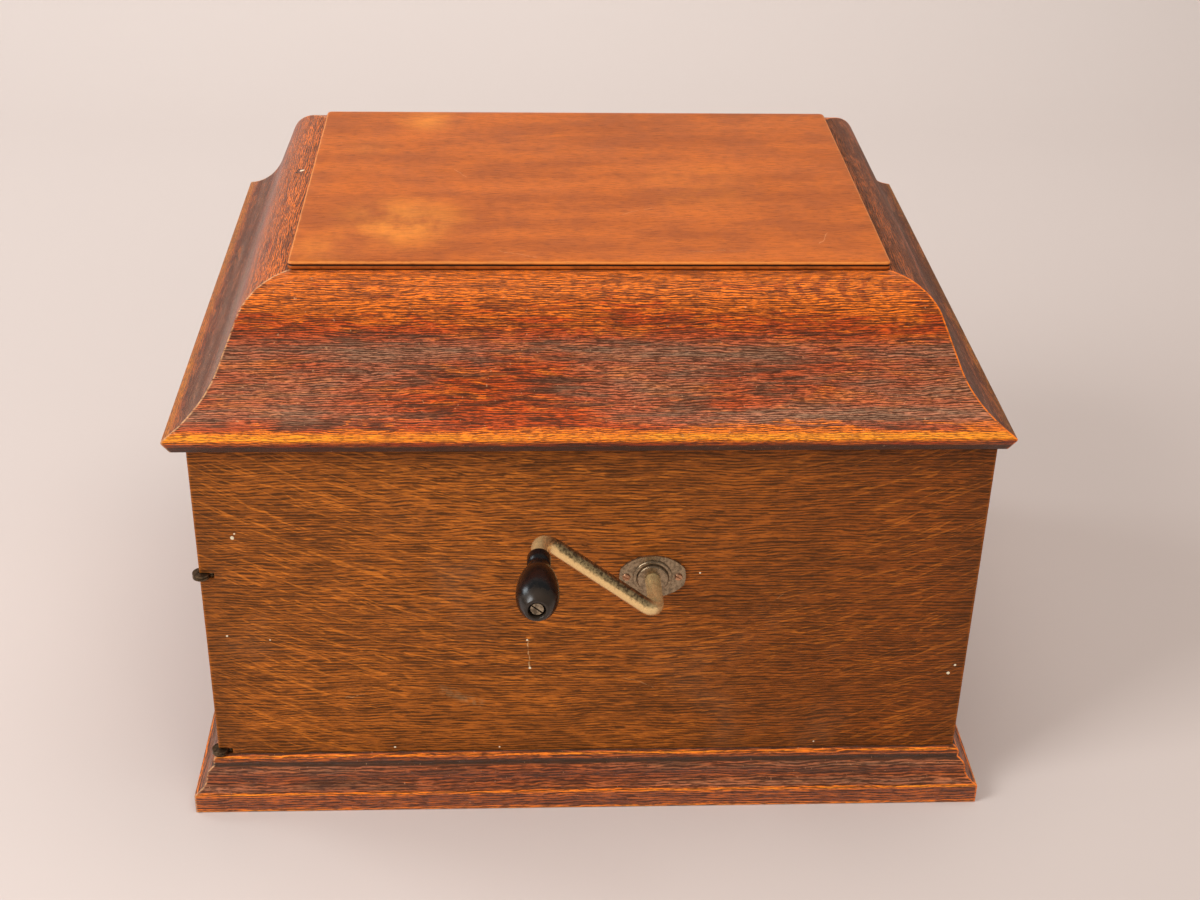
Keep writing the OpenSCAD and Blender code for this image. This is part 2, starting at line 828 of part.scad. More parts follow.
// A flat spiral strip between the arbor and the barrel's wall
module mainspring() {
    wall = 2.5;
    turns = 7;
    steps = 20;
    strip = 1.4;
    inner = winding_r + 0.5;
    rise = (barrel_r - wall - 0.5 - strip - inner) / turns;
    function spiral(extra, i) =
        let (a = i * 360 / steps) (inner + extra + rise * i / steps) * [cos(a), sin(a)];
    color(steel)
        translate([barrel_xy[0], barrel_xy[1], barrel_z + wall + 0.5])
            linear_extrude(barrel_h - 2 * wall - 1)
                polygon(concat([for (i = [0:turns * steps]) spiral(0, i)],
                               [for (i = [turns * steps:-1:0]) spiral(strip, i)]));
}

module intermediate_gear() {
    color(brass)
        translate([train_xy[0], train_xy[1], 0]) {
            translate([0, 0, motor_z])
                cylinder(r = 3, h = board_under - motor_z);
            translate([0, 0, barrel_z - 1])
                rotate([0, 0, barrel_angle])
                    gear(low_pinion_teeth, barrel_module, barrel_gear_t + 2);
            translate([0, 0, big_gear_z])
                rotate([0, 0, train_angle])
                    gear(big_teeth, spindle_module, 4);
        }
}

module spindle() {
    color(steel)
        translate([spindle_xy[0], spindle_xy[1], 0]) {
            translate([0, 0, motor_z])
                cylinder(r = spindle_r, h = felt_z - felt_t - turntable_t - motor_z);
            translate([0, 0, felt_z - felt_t - turntable_t - 0.01])
                cylinder(r = record_pin_r, h = record_pin_h + felt_t + turntable_t - 2);
            translate([0, 0, felt_z + record_pin_h - 2.02])
                cylinder(r1 = record_pin_r, r2 = record_pin_r - 1.5, h = 2);
            translate([0, 0, big_gear_z - 2])
                rotate([0, 0, train_angle + 180 / spindle_teeth])
                    gear(spindle_teeth, spindle_module, 8);
        }
}

module worm_wheel() {
    color("#7b4a2a")
        translate([spindle_xy[0], spindle_xy[1], worm_z - 2])
            difference() {
                rotate([0, 0, 270])
                    gear(wheel_teeth, wheel_module, 4);
                translate([0, 0, -1])
                    cylinder(r = spindle_r + fit, h = 6);
            }
}

// Governor: worm, fixed collar, sliding collar and friction disc on one shaft
module governor_shaft() {
    worm_len = 15;
    steps = 10;
    start = -worm_len / 2;
    phase = 270 - 360 * (spindle_xy[0] - start) / worm_lead;
    color(steel)
        translate([0, worm_y, worm_z]) {
            translate([governor_ends[0] + 0.5, 0, 0])
                bar_x(governor_r, governor_ends[1] + 4 - governor_ends[0]);
            translate([start, 0, 0])
                rotate([0, 90, 0])
                    linear_extrude(worm_len, twist = -360 * worm_len / worm_lead,
                                   slices = ceil(steps * worm_len / worm_lead), $fn = 14)
                        rotate([0, 0, phase])
                            translate([1.2, 0])
                                circle(4.2, $fn = 14);
            translate([governor_ball_x - 21, 0, 0])
                bar_x(7, 4);
            translate([governor_ball_x + 17, 0, 0])
                bar_x(7, 4);
            translate([disc_x, 0, 0])
                bar_x(disc_r, disc_t);
        }
}

// Three leaf springs bowed outwards between the collars, each with its ball
module governor_weights() {
    bow = 7;
    half = 18;
    strip = 0.8;
    ends = 7;
    bow_r = (half * half + bow * bow) / (2 * bow);
    bow_c = [0, ends + bow - bow_r];
    sweep = asin(half / bow_r);
    color("#7d7a74")
        for (turn = [0:2])
            translate([governor_ball_x, worm_y, worm_z])
                rotate([120 * turn + 30, 0, 0]) {
                    rotate([90, 0, 0])
                        translate([0, 0, -2])
                            linear_extrude(4)
                                polygon(concat(arc(bow_c, bow_r, 90 + sweep, 90 - sweep, 10),
                                               arc(bow_c, bow_r + strip, 90 - sweep, 90 + sweep, 10)));
                    translate([0, 0, ends + bow + strip / 2])
                        sphere(ball_r, $fn = 32);
                }
}

// Friction lever: its pad stands at the governor's disc, its long arm at the regulator
lever_xy = motor_screws[2];
lever_w = 5;
lever_t = 4;
cam_r = 6.5;
cam_off = 2.5;
cam_h = 8;
module friction_lever() {
    run = regulator_xy - lever_xy;
    length = norm(run) + 8;
    aside = asin((cam_r - cam_off + gap + lever_w / 2) / norm(run));
    pad_x = disc_x + disc_t;
    pad_y = worm_y - 6.5;
    bar_y = lever_xy[1] + 2;
    color(steel)
        translate([0, 0, worm_z - lever_t / 2])
            linear_extrude(lever_t)
                difference() {
                    union() {
                        translate(lever_xy)
                            circle(pillar_r + 3);
                        translate(lever_xy)
                            rotate([0, 0, atan2(run[1], run[0]) - aside])
                                translate([0, -lever_w / 2])
                                    square([length, lever_w]);
                        translate([pad_x + gap, pad_y - 3.5])
                            square([4 - gap, 3.5]);
                        translate([pad_x + 1, bar_y])
                            square([3, pad_y - bar_y]);
                        translate([pad_x + 1, bar_y])
                            square([lever_xy[0] - pillar_r - pad_x - 1, 4]);
                    }
                    translate(lever_xy)
                        circle(pillar_r + fit);
                }
}

// Speed regulator: pointer above the board, cam beside the friction lever. At rest the cam
// points away from the lever.
lever_side = atan2(regulator_xy[1] - lever_xy[1], regulator_xy[0] - lever_xy[0]) + 90;
module regulator_arm() {
    stem_low = worm_z - cam_h / 2;
    hub_low = board_z + dial_t + gap;
    color(nickel)
        translate([regulator_xy[0], regulator_xy[1], 0]) {
            translate([0, 0, stem_low])
                cylinder(r = stem_r, h = hub_low + pointer_t / 2 - stem_low);
            translate([cam_off * cos(lever_side), cam_off * sin(lever_side), stem_low])
                cylinder(r = cam_r, h = cam_h);
            translate([0, 0, hub_low])
                cylinder(r = pointer_hub_r, h = pointer_t);
            translate([0, 0, hub_low])
                rotate([0, 0, 60])
                    translate([0, -pointer_w / 2, 0])
                        cube([pointer_len, pointer_w, pointer_t]);
            translate([0, 0, hub_low + pointer_t])
                cylinder(r = stem_r + 0.5, h = pointer_t + 1);
        }
}

// Brake: lever on the board whose pad stands at the turntable's rim
brake_len = 34;
brake_stem_r = 3;
brake_hub_r = 7;
brake_w = 6;
brake_t = 3;
brake_low = 2.3;
brake_tail = 24;
module brake_lever() {
    pad_r = 5;
    pad_polar = asin(brake_len / (turntable_r + gap + pad_r));
    pad = (turntable_r + gap + pad_r) * [cos(brake_angle + pad_polar), sin(brake_angle + pad_polar)];
    run = spindle_xy + pad - brake_pivot;
    color(nickel)
        translate([brake_pivot[0], brake_pivot[1], board_z]) {
            translate([0, 0, -board_t + 2])
                cylinder(r = brake_stem_r, h = board_t);
            translate([0, 0, gap])
                cylinder(r = brake_hub_r, h = 2 * brake_t);
            rotate([0, 0, atan2(run[1], run[0])])
                translate([0, -brake_w / 2, brake_low])
                    cube([norm(run), brake_w, brake_t]);
            translate([run[0], run[1], brake_low])
                cylinder(r = pad_r, h = 4 * brake_t);
            rotate([0, 0, atan2(run[1], run[0]) + 150])
                translate([0, -brake_w / 2, brake_low])
                    cube([brake_tail, brake_w, brake_t]);
        }
}

module turntable() {
    color(nickel)
        translate([spindle_xy[0], spindle_xy[1], felt_z - felt_t])
            rotate_extrude($fn = 96)
                polygon([[record_pin_r + fit, 0], [turntable_r - 2, 0], [turntable_r, -2],
                         [turntable_r, -turntable_rim_h], [turntable_r - 2, -turntable_rim_h],
                         [turntable_r - 2, -turntable_t - 2], [turntable_r - 4, -turntable_t],
                         [16, -turntable_t], [12, -turntable_t - 9], [spindle_r + fit, -turntable_t - 9],
                         [spindle_r + fit, -turntable_t], [record_pin_r + fit, -turntable_t]]);
}

module turntable_felt() {
    color(green)
        translate([spindle_xy[0], spindle_xy[1], felt_z - felt_t])
            difference() {
                cylinder(r = turntable_r - 2, h = felt_t, $fn = 96);
                translate([0, 0, -1])
                    cylinder(r = record_pin_r + 0.4, h = felt_t + 2);
            }
}

// Tonearm

// Places its children, drawn about the arm's pivot with the arm along -Y, at the park angle
module on_arm() {
    translate([pivot_xy[0], pivot_xy[1], arm_z])
        rotate([0, 0, park_angle])
            children();
}

bracket_h = 16;
bracket_top = board_z + bracket_h;
bracket_plate_t = 3;
bracket_step = 6;
module tonearm_bracket() {
    outer = elbow_r + elbow_wall;
    color(nickel)
        translate([pivot_xy[0], pivot_xy[1], 0])
            difference() {
                union() {
                    translate([0, 0, board_z])
                        cylinder(r = bracket_screw_ring + 6, h = bracket_plate_t);
                    translate([0, 0, board_under])
                        cylinder(r = outer - 0.1, h = bracket_top - board_under);
                    translate([0, 0, board_z])
                        cylinder(r = outer + 3, h = bracket_step);
                }
                translate([0, 0, board_under - 1])
                    cylinder(r = elbow_r - 0.5, h = far);
                for (a = [90, 210, 330])
                    translate([bracket_screw_ring * cos(a), bracket_screw_ring * sin(a), board_z - 1])
                        cylinder(r = 1, h = 6);
            }
}

// Yoke that turns on the bracket and carries the arm between two ears
yoke_half = 20;
trunnion_r = 2;
arm_root_r = 11.5;
knuckle = 14;
module tonearm_yoke() {
    outer = elbow_r + elbow_wall;
    socket_r = 12;
    ring_top = bracket_top + 3 - arm_z;
    color(nickel)
        on_arm()
            difference() {
                union() {
                    translate([0, 0, board_z + bracket_step + gap - arm_z])
                        cylinder(r = outer + 3.5, h = bracket_h - bracket_step - gap + 3);
                    for (side = [-1, 1]) {
                        box([side > 0 ? yoke_half - 4 : -yoke_half, -6, ring_top - 4],
                            [side > 0 ? yoke_half : -yoke_half + 4, 6, 0]);
                        translate([side > 0 ? yoke_half - 4 : -yoke_half, 0, 0])
                            bar_x(6, 4);
                    }
                    translate([0, 0, ring_top - 1])
                        cylinder(r = socket_r, h = 1 - ring_top - 6);
                }
                sphere(knuckle + gap);
                rotate([90, 0, 0])
                    cylinder(r = arm_root_r + gap, h = 40);
                translate([0, 0, -arm_height - 40])
                    cylinder(r = outer + fit, h = 40 + arm_height + bracket_top - arm_z + gap);
                translate([0, 0, -arm_height - 40])
                    cylinder(r = socket_r - 2.5, h = 40 + arm_height);
                translate([-yoke_half - 1, 0, 0])
                    bar_x(trunnion_r + fit, 2 * yoke_half + 2);
            }
}

// Tapered brass tube with a round knuckle at the trunnions and an open front end
module tonearm() {
    tube_end = arm_len - neck_reach;
    color(nickel)
        on_arm()
            difference() {
                union() {
                    sphere(knuckle);
                    translate([-yoke_half + 0.5, 0, 0])
                        bar_x(trunnion_r, 2 * yoke_half - 1);
                    rotate([90, 0, 0])
                        cylinder(r1 = arm_root_r, r2 = arm_tube_r, h = tube_end);
                    translate([0, -tube_end + 8, 0])
                        rotate([90, 0, 0])
                            cylinder(r = arm_tube_r + 1.5, h = 8);
                }
                translate([0, 0, -knuckle - 1])
                    cylinder(r = arm_root_r - 3, h = knuckle + 1);
                rotate([90, 0, 0])
                    cylinder(r1 = arm_root_r - 2.5, r2 = arm_tube_r - 1.8, h = tube_end - neck_in - 2);
                translate([0, -tube_end + neck_in + 4, 0])
                    rotate([90, 0, 0])
                        cylinder(r = arm_tube_r - 1.5 + fit, h = far);
            }
}

// Elbow that turns in the arm's end and carries the sound box on its side
module sound_box_neck() {
    tube = arm_tube_r - 1.5;
    tube_end = arm_len - neck_reach;
    color(nickel)
        on_arm()
            difference() {
                union() {
                    translate([0, -tube_end + neck_in, 0])
                        rotate([90, 0, 0])
                            cylinder(r = tube, h = arm_len - neck_bend - tube_end + neck_in);
                    translate([0, -tube_end - gap, 0])
                        rotate([90, 0, 0])
                            cylinder(r = arm_tube_r + 1.5, h = 5);
                    translate([neck_bend, -arm_len + neck_bend, 0])
                        rotate([0, 0, 180])
                            rotate_extrude(angle = 90)
                                translate([neck_bend, 0])
                                    circle(tube);
                    translate([neck_bend, -arm_len, 0])
                        bar_x(tube, box_back - neck_bend);
                }
                translate([0, -tube_end + neck_in + 1, 0])
                    rotate([90, 0, 0])
                        cylinder(r = tube - 1.5, h = arm_len - neck_bend - tube_end + neck_in + 1);
            }
}

// Places its children about the sound box's centre, its axis along +X, needle end along -Z
module on_box() {
    on_arm()
        translate([box_back, -arm_len, 0])
            rotate([-needle_tilt, 0, 0])
                children();
}

module sound_box() {
    color(nickel)
        on_box()
            rotate([0, 90, 0])
                rotate_extrude($fn = 64)
                    polygon([[0, 0], [sound_box_r - 4, 0], [sound_box_r, 3],
                             [sound_box_r, sound_box_t - 1], [sound_box_r - 1, sound_box_t],
                             [sound_box_r - 5, sound_box_t], [sound_box_r - 5, 3], [0, 3]]);
}

module diaphragm() {
    color("#d9cfae")
        on_box()
            translate([sound_box_t - 4, 0, 0])
                bar_x(sound_box_r - 5.05, 0.6);
}

holder_z = -31;
module stylus_bar() {
    color(steel)
        on_box()
            difference() {
                union() {
                    translate([sound_box_t - 3.4, 0, 0])
                        bar_x(2.5, 4.4);
                    box([sound_box_t + 0.3, -1.5, holder_z], [sound_box_t + 2.3, 1.5, 2]);
                    translate([sound_box_t - 4, 0, holder_z - 1])
                        cylinder(r = 3, h = 1 - holder_z - sound_box_r - gap);
                    box([sound_box_t - 4, -1.5, -sound_box_r - 1.5],
                        [sound_box_t + 2.3, 1.5, -sound_box_r - gap]);
                }
                translate([sound_box_t - 4, 0, holder_z - 2])
                    cylinder(r = 0.85, h = 7, $fn = 24);
                translate([sound_box_t - 4, 0, holder_z + 2])
                    bar_x(0.8 + fit, 12, $fn = 24);
            }
}

module needle() {
    color("#c9ccd2")
        on_box()
            translate([sound_box_t - 4, 0, -needle_reach])
                union() {
                    translate([0, 0, 3])
                        cylinder(r = 0.8, h = needle_reach + holder_z - 3 + 1, $fn = 24);
                    cylinder(r1 = 0.15, r2 = 0.8, h = 3, $fn = 24);
                }
}

module needle_screw() {
    color(brass)
        on_box()
            translate([sound_box_t - 3, 0, holder_z + 2]) {
                bar_x(0.8, 8, $fn = 24);
                translate([5.3 + gap, 0, 0])
                    bar_x(2.8, 3.5);
            }
}

// Lid

module lid_moulding() {
    profile = concat([[nose_chamfer, 0], [0, nose_h - 1.5]],
                     arc(ogee_cove_c, ogee_cove_r, lip_slope - 90, wall_slope - 90, 12),
                     arc(ogee_round_c, ogee_round_r, wall_slope + 90, 90, 12),
                     [[lid_in, ogee_top], [lid_in, lid_ceiling],
                      [lid_inner_t(lid_ceiling), lid_ceiling], [lid_inner_t(0), 0]]);
    color(oak_dark)
        difference() {
            translate([0, lid_y, lid_z])
                mitred_frame(lid_w, lid_d, lid_in, profile);
            for (side = [-1, 1])
                box([side * lid_hinge_x - hinge_half - gap, in_y - 4.3, lid_z - 1],
                    [side * lid_hinge_x + hinge_half + gap, lid_d / 2 + 5, lid_z + leaf_t + 0.1]);
        }
}

module lid_top_board() {
    color(oak)
        translate([0, lid_y, lid_z + ogee_top])
            round_plate([lid_w - 2 * top_board_in, lid_d - 2 * top_board_in], 3, top_board_t);
}

// Lid hinges: two outer knuckles, pin and plate stay on the back panel
module lid_hinge_plates() {
    color(brass)
        for (side = [-1, 1])
            translate([side * lid_hinge_x, 0, 0]) {
                difference() {
                    box([-hinge_half, half_d, hinge_z - hinge_plate_h],
                        [hinge_half, half_d + hinge_plate_t, hinge_z]);
                    translate([-knuckle_half - gap, hinge_y, hinge_z])
                        bar_x(knuckle_r + 0.5, 2 * (knuckle_half + gap));
                }
                for (x = [-hinge_half, knuckle_half + gap])
                    translate([x, hinge_y, hinge_z])
                        bar_x(knuckle_r, knuckle_len);
                for (x = [-hinge_half, knuckle_half + gap])
                    box([x, half_d, hinge_z - knuckle_r], [x + knuckle_len, hinge_y, hinge_z]);
                translate([-hinge_half, hinge_y, hinge_z])
                    bar_x(hinge_pin_r, 2 * hinge_half);
            }
}

module lid_hinge_leaves() {
    color(brass)
        for (side = [-1, 1])
            translate([side * lid_hinge_x, 0, 0])
                difference() {
                    union() {
                        box([-hinge_half, in_y - 4, lid_z],
                            [hinge_half, hinge_y + leaf_root, lid_z + leaf_t]);
                        translate([-knuckle_half, hinge_y, hinge_z])
                            bar_x(knuckle_r, 2 * knuckle_half);
                        box([-knuckle_half, hinge_y - leaf_root, hinge_z],
                            [knuckle_half, hinge_y + leaf_root, lid_z + leaf_t]);
                    }
                    translate([-knuckle_half - 1, hinge_y, hinge_z])
                        bar_x(hinge_pin_r + fit, 2 * (knuckle_half + 1));
                }
}

// Quadrant stay about the hinge's axis, with a wedge against the lid's inner slope
module lid_stay() {
    foot_half = 14;
    foot_h = 12;
    slope_x = -(lid_w / 2) + lid_inner_t(0);
    color(brass)
        union() {
            translate([stay_x - stay_t, hinge_y, hinge_z])
                rotate([90, 0, 90])
                    linear_extrude(stay_t)
                        polygon(concat(
                            arc([0, 0], stay_r - stay_w / 2, 180 + stay_start, 180 + stay_end, 24),
                            arc([0, 0], stay_r + stay_w / 2, 180 + stay_end, 180 + stay_start, 24)));
            translate([0, hinge_y - stay_r + foot_half, 0])
                rotate([90, 0, 0])
                    linear_extrude(2 * foot_half)
                        polygon([[slope_x + 0.1, lid_z], [stay_x, lid_z], [stay_x, lid_z + foot_h / 2],
                                 [slope_x + 0.1 + foot_h / tan(wall_slope), lid_z + foot_h]]);
        }
}

module lid_stay_guide() {
    low_y = hinge_y - stay_r + 2;
    color(brass)
        difference() {
            box([-in_x, low_y - 6, board_z], [stay_x + 3, low_y + 16, board_z + 8]);
            box([stay_x - stay_t - 0.4, low_y - 4, board_z - 1], [stay_x + 0.4, low_y + 12, board_z + 9]);
        }
}

// Doors, drawn for the right side and mirrored for the left

module pivot_leaf(z) {
    translate([door_pivot[0], door_pivot[1], z])
        union() {
            cylinder(r = leaf_r, h = leaf_t);
            box([-leaf_len, -0.5, 0], [0, leaf_w - 0.5, leaf_t]);
        }
}

door_leaf_z = [base_h + leaf_t + gap, door_top - 2 * leaf_t - gap];
module door_pivots() {
    color(brass) {
        for (z = door_leaf_z)
            pivot_leaf(z);
        translate([door_pivot[0], door_pivot[1], base_h + gap])
            cylinder(r = leaf_pin_r, h = leaf_t + gap);
        translate([door_pivot[0], door_pivot[1], door_top - leaf_t - gap - 0.5])
            cylinder(r = leaf_pin_r, h = leaf_t + 0.5);
    }
}

module fixed_leaves() {
    for (z = [base_h, door_top - leaf_t])
        difference() {
            pivot_leaf(z);
            translate([door_pivot[0], door_pivot[1], z - 1])
                cylinder(r = leaf_pin_r + fit, h = leaf_t + 2);
        }
}

module door_hinge_plates() {
    color(brass) {
        fixed_leaves();
        mirror([1, 0, 0])
            fixed_leaves();
    }
}

module door() {
    difference() {
        box([door_gap / 2, -half_d + 0.5, door_low], [in_x - door_gap, -in_y, door_high]);
        for (z = door_leaf_z)
            box([door_pivot[0] - leaf_len - 0.2, door_pivot[1] - 0.7, z - 0.1],
                [in_x + 1, door_pivot[1] + leaf_w - 0.3, z + leaf_t + 0.1]);
        // thumb groove round the door's face
        for (x = [door_gap / 2 + 22, in_x - door_gap - 24])
            box([x, -half_d, door_low + 22], [x + 2, -half_d + 1.7, door_high - 22]);
        for (z = [door_low + 22, door_high - 24])
            box([door_gap / 2 + 22, -half_d, z], [in_x - door_gap - 22, -half_d + 1.7, z + 2]);
    }
}

module door_right() {
    color(oak)
        door();
}

module door_left() {
    color(oak)
        mirror([1, 0, 0])
            door();
}

module door_knob() {
    translate([12, -half_d + 0.5, (door_low + door_high) / 2])
        rotate([90, 0, 0])
            rotate_extrude()
                polygon(concat([[0, 0], [6, 0], [6, 1.5], [3, 3], [3, 8]],
                               arc([0, 13], 7, -45, 60, 8), [[0, 19.1]]));
}

module door_knob_right() {
    color(brass)
        door_knob();
}

module door_knob_left() {
    color(brass)
        mirror([1, 0, 0])
            door_knob();
}

module door_pivots_right() {
    door_pivots();
}

module door_pivots_left() {
    mirror([1, 0, 0])
        door_pivots();
}

// Crank

// Places its children with local Z out of the case along the shaft and local X along the arm
module on_shaft() {
    translate([half_w, crank_y, crank_z])
        rotate([270 - crank_angle, 0, 0])
            rotate([0, 90, 0])
                children();
}

// Places its children on the knob's axis, with z = 0 level with the arm's axis
module on_knob() {
    on_shaft()
        translate([crank_len, 0, crank_out])
            rotate([0, knob_lean, 0])
                children();
}

knob_start = 22.8;
knob_rod_r = 4;
knob_recess = 4.5;
recess_r = 5.1;
knob_screw_l = 12;
module crank_rod() {
    knob_bend = 90 - knob_lean;
    knob_cut = knob_bend_r * tan(knob_bend / 2);
    knob_rod_end = knob_start + knob_len - knob_recess - 0.5;
    inner_end = socket_x + 30 - socket_depth + 0.5 - half_w;
    color(nickel) {
        on_shaft() {
            translate([0, 0, inner_end])
                cylinder(r = rod_r, h = crank_out - bend_r - inner_end);
            translate([bend_r, 0, crank_out - bend_r])
                rotate([90, 0, 0])
                    rotate([0, 0, 90])
                        rotate_extrude(angle = 90)
                            translate([bend_r, 0])
                                circle(rod_r);
            translate([bend_r, 0, crank_out])
                rotate([0, 90, 0])
                    cylinder(r = rod_r, h = crank_len - bend_r - knob_cut);
            translate([crank_len - knob_cut, 0, crank_out + knob_bend_r])
                rotate([90, 0, 0])
                    rotate([0, 0, -90])
                        rotate_extrude(angle = knob_bend)
                            translate([knob_bend_r, 0])
                                circle(rod_r);
        }
        on_knob()
            difference() {
                union() {
                    translate([0, 0, knob_cut])
                        cylinder(r = rod_r, h = knob_start - gap - knob_cut);
                    translate([0, 0, knob_cut])
                        cylinder(r = knob_rod_r, h = knob_rod_end - knob_cut);
                }
                translate([0, 0, knob_rod_end - knob_screw_l - 2])
                    cylinder(r = 1.8 + fit, h = far);
            }
    }
}

// Turned knob: a short collar, a neck and a pear-shaped grip
module crank_knob() {
    collar_r = 7;
    collar_h = 9.5;
    neck_z = 14;
    neck_r = 6.3;
    end_r = 6.6;
    belly_z = 0.72 * knob_len;
    belly_back = belly_z - neck_z;
    belly_front = knob_len - belly_z;
    back_a = acos(neck_r / knob_r);
    front_a = acos(end_r / knob_r);
    profile = concat([[knob_rod_r + fit, 0]],
                     arc([collar_r - 1.8, 1.8], 1.8, -90, 0, 5),
                     arc([collar_r - 6, collar_h - 3], 6, 0, 30, 5),
                     [for (i = [0:10]) let (a = back_a * (1 - i / 10))
                        [knob_r * cos(a), belly_z - belly_back * sin(a) / sin(back_a)]],
                     [for (i = [1:10]) let (a = front_a * i / 10)
                        [knob_r * cos(a), belly_z + belly_front * sin(a) / sin(front_a)]],
                     [[recess_r, knob_len], [recess_r, knob_len - knob_recess],
                      [knob_rod_r + fit, knob_len - knob_recess]]);
    color(black)
        on_knob()
            translate([0, 0, knob_start])
                rotate_extrude()
                    polygon(profile);
}

module crank_knob_screw() {
    color(steel)
        on_knob()
            translate([0, 0, knob_start + knob_len - knob_recess + gap])
                screw(recess_r - 0.4, 2.6, 1.8, knob_screw_l);
}

// Oval plate with a stepped boss round the crank
escutcheon_t = 1.6;
module escutcheon() {
    step = escutcheon_t + 1.3;
    neck = escutcheon_t + 3.2;
    color(nickel)
        translate([half_w, crank_y, crank_z])
            rotate([90, 0, 90])
                difference() {
                    union() {
                        linear_extrude(escutcheon_t)
                            intersection() {
                                translate([0, escutcheon_h / 2 - oval_r()])
                                    circle(oval_r(), $fn = 96);
                                translate([0, oval_r() - escutcheon_h / 2])
                                    circle(oval_r(), $fn = 96);
                                circle(escutcheon_w / 2, $fn = 96);
                            }
                        rotate_extrude()
                            polygon(concat([[winding_r, 0], [boss_r, 0]],
                                           arc([boss_r - 0.9, step - 0.9], 0.9, 0, 90, 4),
                                           [[boss_r - 2.1, step], [boss_r - 2.6, step - 0.5]],
                                           arc([boss_r - 3.6, neck - 1], 1, 0, 90, 4),
                                           [[winding_r, neck]]));
                    }
                    translate([0, 0, -1])
                        cylinder(r = rod_r + fit, h = far);
                    for (side = [-1, 1])
                        translate([side * escutcheon_pitch / 2, 0, -1])
                            cylinder(r = 1.25, h = 5);
                }
}

// Radius of the two arcs that bound the oval above and below, meeting past its ends
function oval_r() =
    let (half = escutcheon_w / 2 + 3, rise = escutcheon_h / 2)
    (half * half + rise * rise) / (2 * rise);

module escutcheon_screws() {
    color(brass)
        for (side = [-1, 1])
            translate([half_w + escutcheon_t, crank_y + side * escutcheon_pitch / 2, crank_z])
                rotate([0, 90, 0])
                    rotate([0, 0, 60])
                        screw(2.6, 1.1, 1.2, 1.5);
}

base_moulding();
side_panel_right();
side_panel_left();
back_panel();
front_rail();
bottom_board();
motor_board();
board_cleats();
horn();
horn_mouth_frame();
horn_elbow();
tonearm_bracket();
board_screws();
motor_top_plate();
motor_bottom_plate();
motor_pillars();
shaft_bearings();
backstop_spring();
escutcheon();
escutcheon_screws();
door_hinge_plates();
lid_hinge_plates();
lid_stay_guide();
needle_cups();
regulator_dial();
lid_moulding();
lid_top_board();
lid_hinge_leaves();
lid_stay();
door_right();
door_left();
door_knob_right();
door_knob_left();
door_pivots_right();
door_pivots_left();
crank_rod();
crank_knob();
crank_knob_screw();
winding_shaft();
winding_wheel();
spindle();
worm_wheel();
turntable();
turntable_felt();
intermediate_gear();
spring_barrel();
mainspring();
governor_shaft();
governor_weights();
tonearm_yoke();
tonearm();
sound_box_neck();
sound_box();
diaphragm();
stylus_bar();
needle();
needle_screw();
brake_lever();
regulator_arm();
friction_lever();
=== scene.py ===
# %% [markdown]
# A spring-wound tabletop gramophone
#
# The object is an oak box with a hinged ogee lid, a board on top of the lid and a bent
# winding crank in its right side. The exact solids come from the frame; this script gives
# them their surfaces: stained oak, worn edges, tarnished nickel and black lacquer.

# %% The frame
import json
import math

import bmesh
import bpy
import numpy as np
from mathutils import Matrix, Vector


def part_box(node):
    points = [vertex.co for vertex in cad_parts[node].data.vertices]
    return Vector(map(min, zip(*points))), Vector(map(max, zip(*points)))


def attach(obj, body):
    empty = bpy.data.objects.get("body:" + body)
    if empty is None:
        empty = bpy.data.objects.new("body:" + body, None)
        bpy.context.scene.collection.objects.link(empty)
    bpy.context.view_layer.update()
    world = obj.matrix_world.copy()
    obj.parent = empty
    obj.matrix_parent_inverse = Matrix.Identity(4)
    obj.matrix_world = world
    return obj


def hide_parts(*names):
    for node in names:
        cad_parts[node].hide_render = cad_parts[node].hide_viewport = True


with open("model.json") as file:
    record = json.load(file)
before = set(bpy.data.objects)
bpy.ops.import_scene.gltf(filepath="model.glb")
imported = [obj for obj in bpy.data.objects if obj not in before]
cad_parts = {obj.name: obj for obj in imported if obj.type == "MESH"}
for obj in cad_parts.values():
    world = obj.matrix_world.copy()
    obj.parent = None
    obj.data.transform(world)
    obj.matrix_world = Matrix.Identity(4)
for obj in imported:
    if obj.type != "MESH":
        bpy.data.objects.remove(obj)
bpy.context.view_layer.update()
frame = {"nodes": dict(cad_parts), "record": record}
record = frame["record"]
body_of = {node: body for body, nodes in record["behaviour"]["bodies"].items() for node in nodes}
MM = 0.001

# %% [markdown]
# The camera
#
# The photograph looks down on the crank side from a little to the front. A camera could
# be moved by eye until the picture agrees; here its place and turn follow from the
# vanishing points of the box's edges, which fits to about a pixel. They are pitch, yaw
# and roll in degrees, the place in metres, and a focal length given in pixels of a
# 1200-pixel-wide picture.

# %% The camera
VIEW_PITCH, VIEW_YAW, VIEW_ROLL = 29.840, -3.148, 1.324
VIEW_PLACE = (1.1199, -0.0484, 0.7961)
FOCAL_PIXELS, PICTURE_WIDTH = 1765.8, 1200
SENSOR_WIDTH = 36.0


def turn_matrix(axis, degrees):
    """A turn about one axis (0, 1 or 2) by the right-hand rule, as a 3 x 3 array."""
    return np.array(Matrix.Rotation(math.radians(degrees), 3, "XYZ"[axis]))


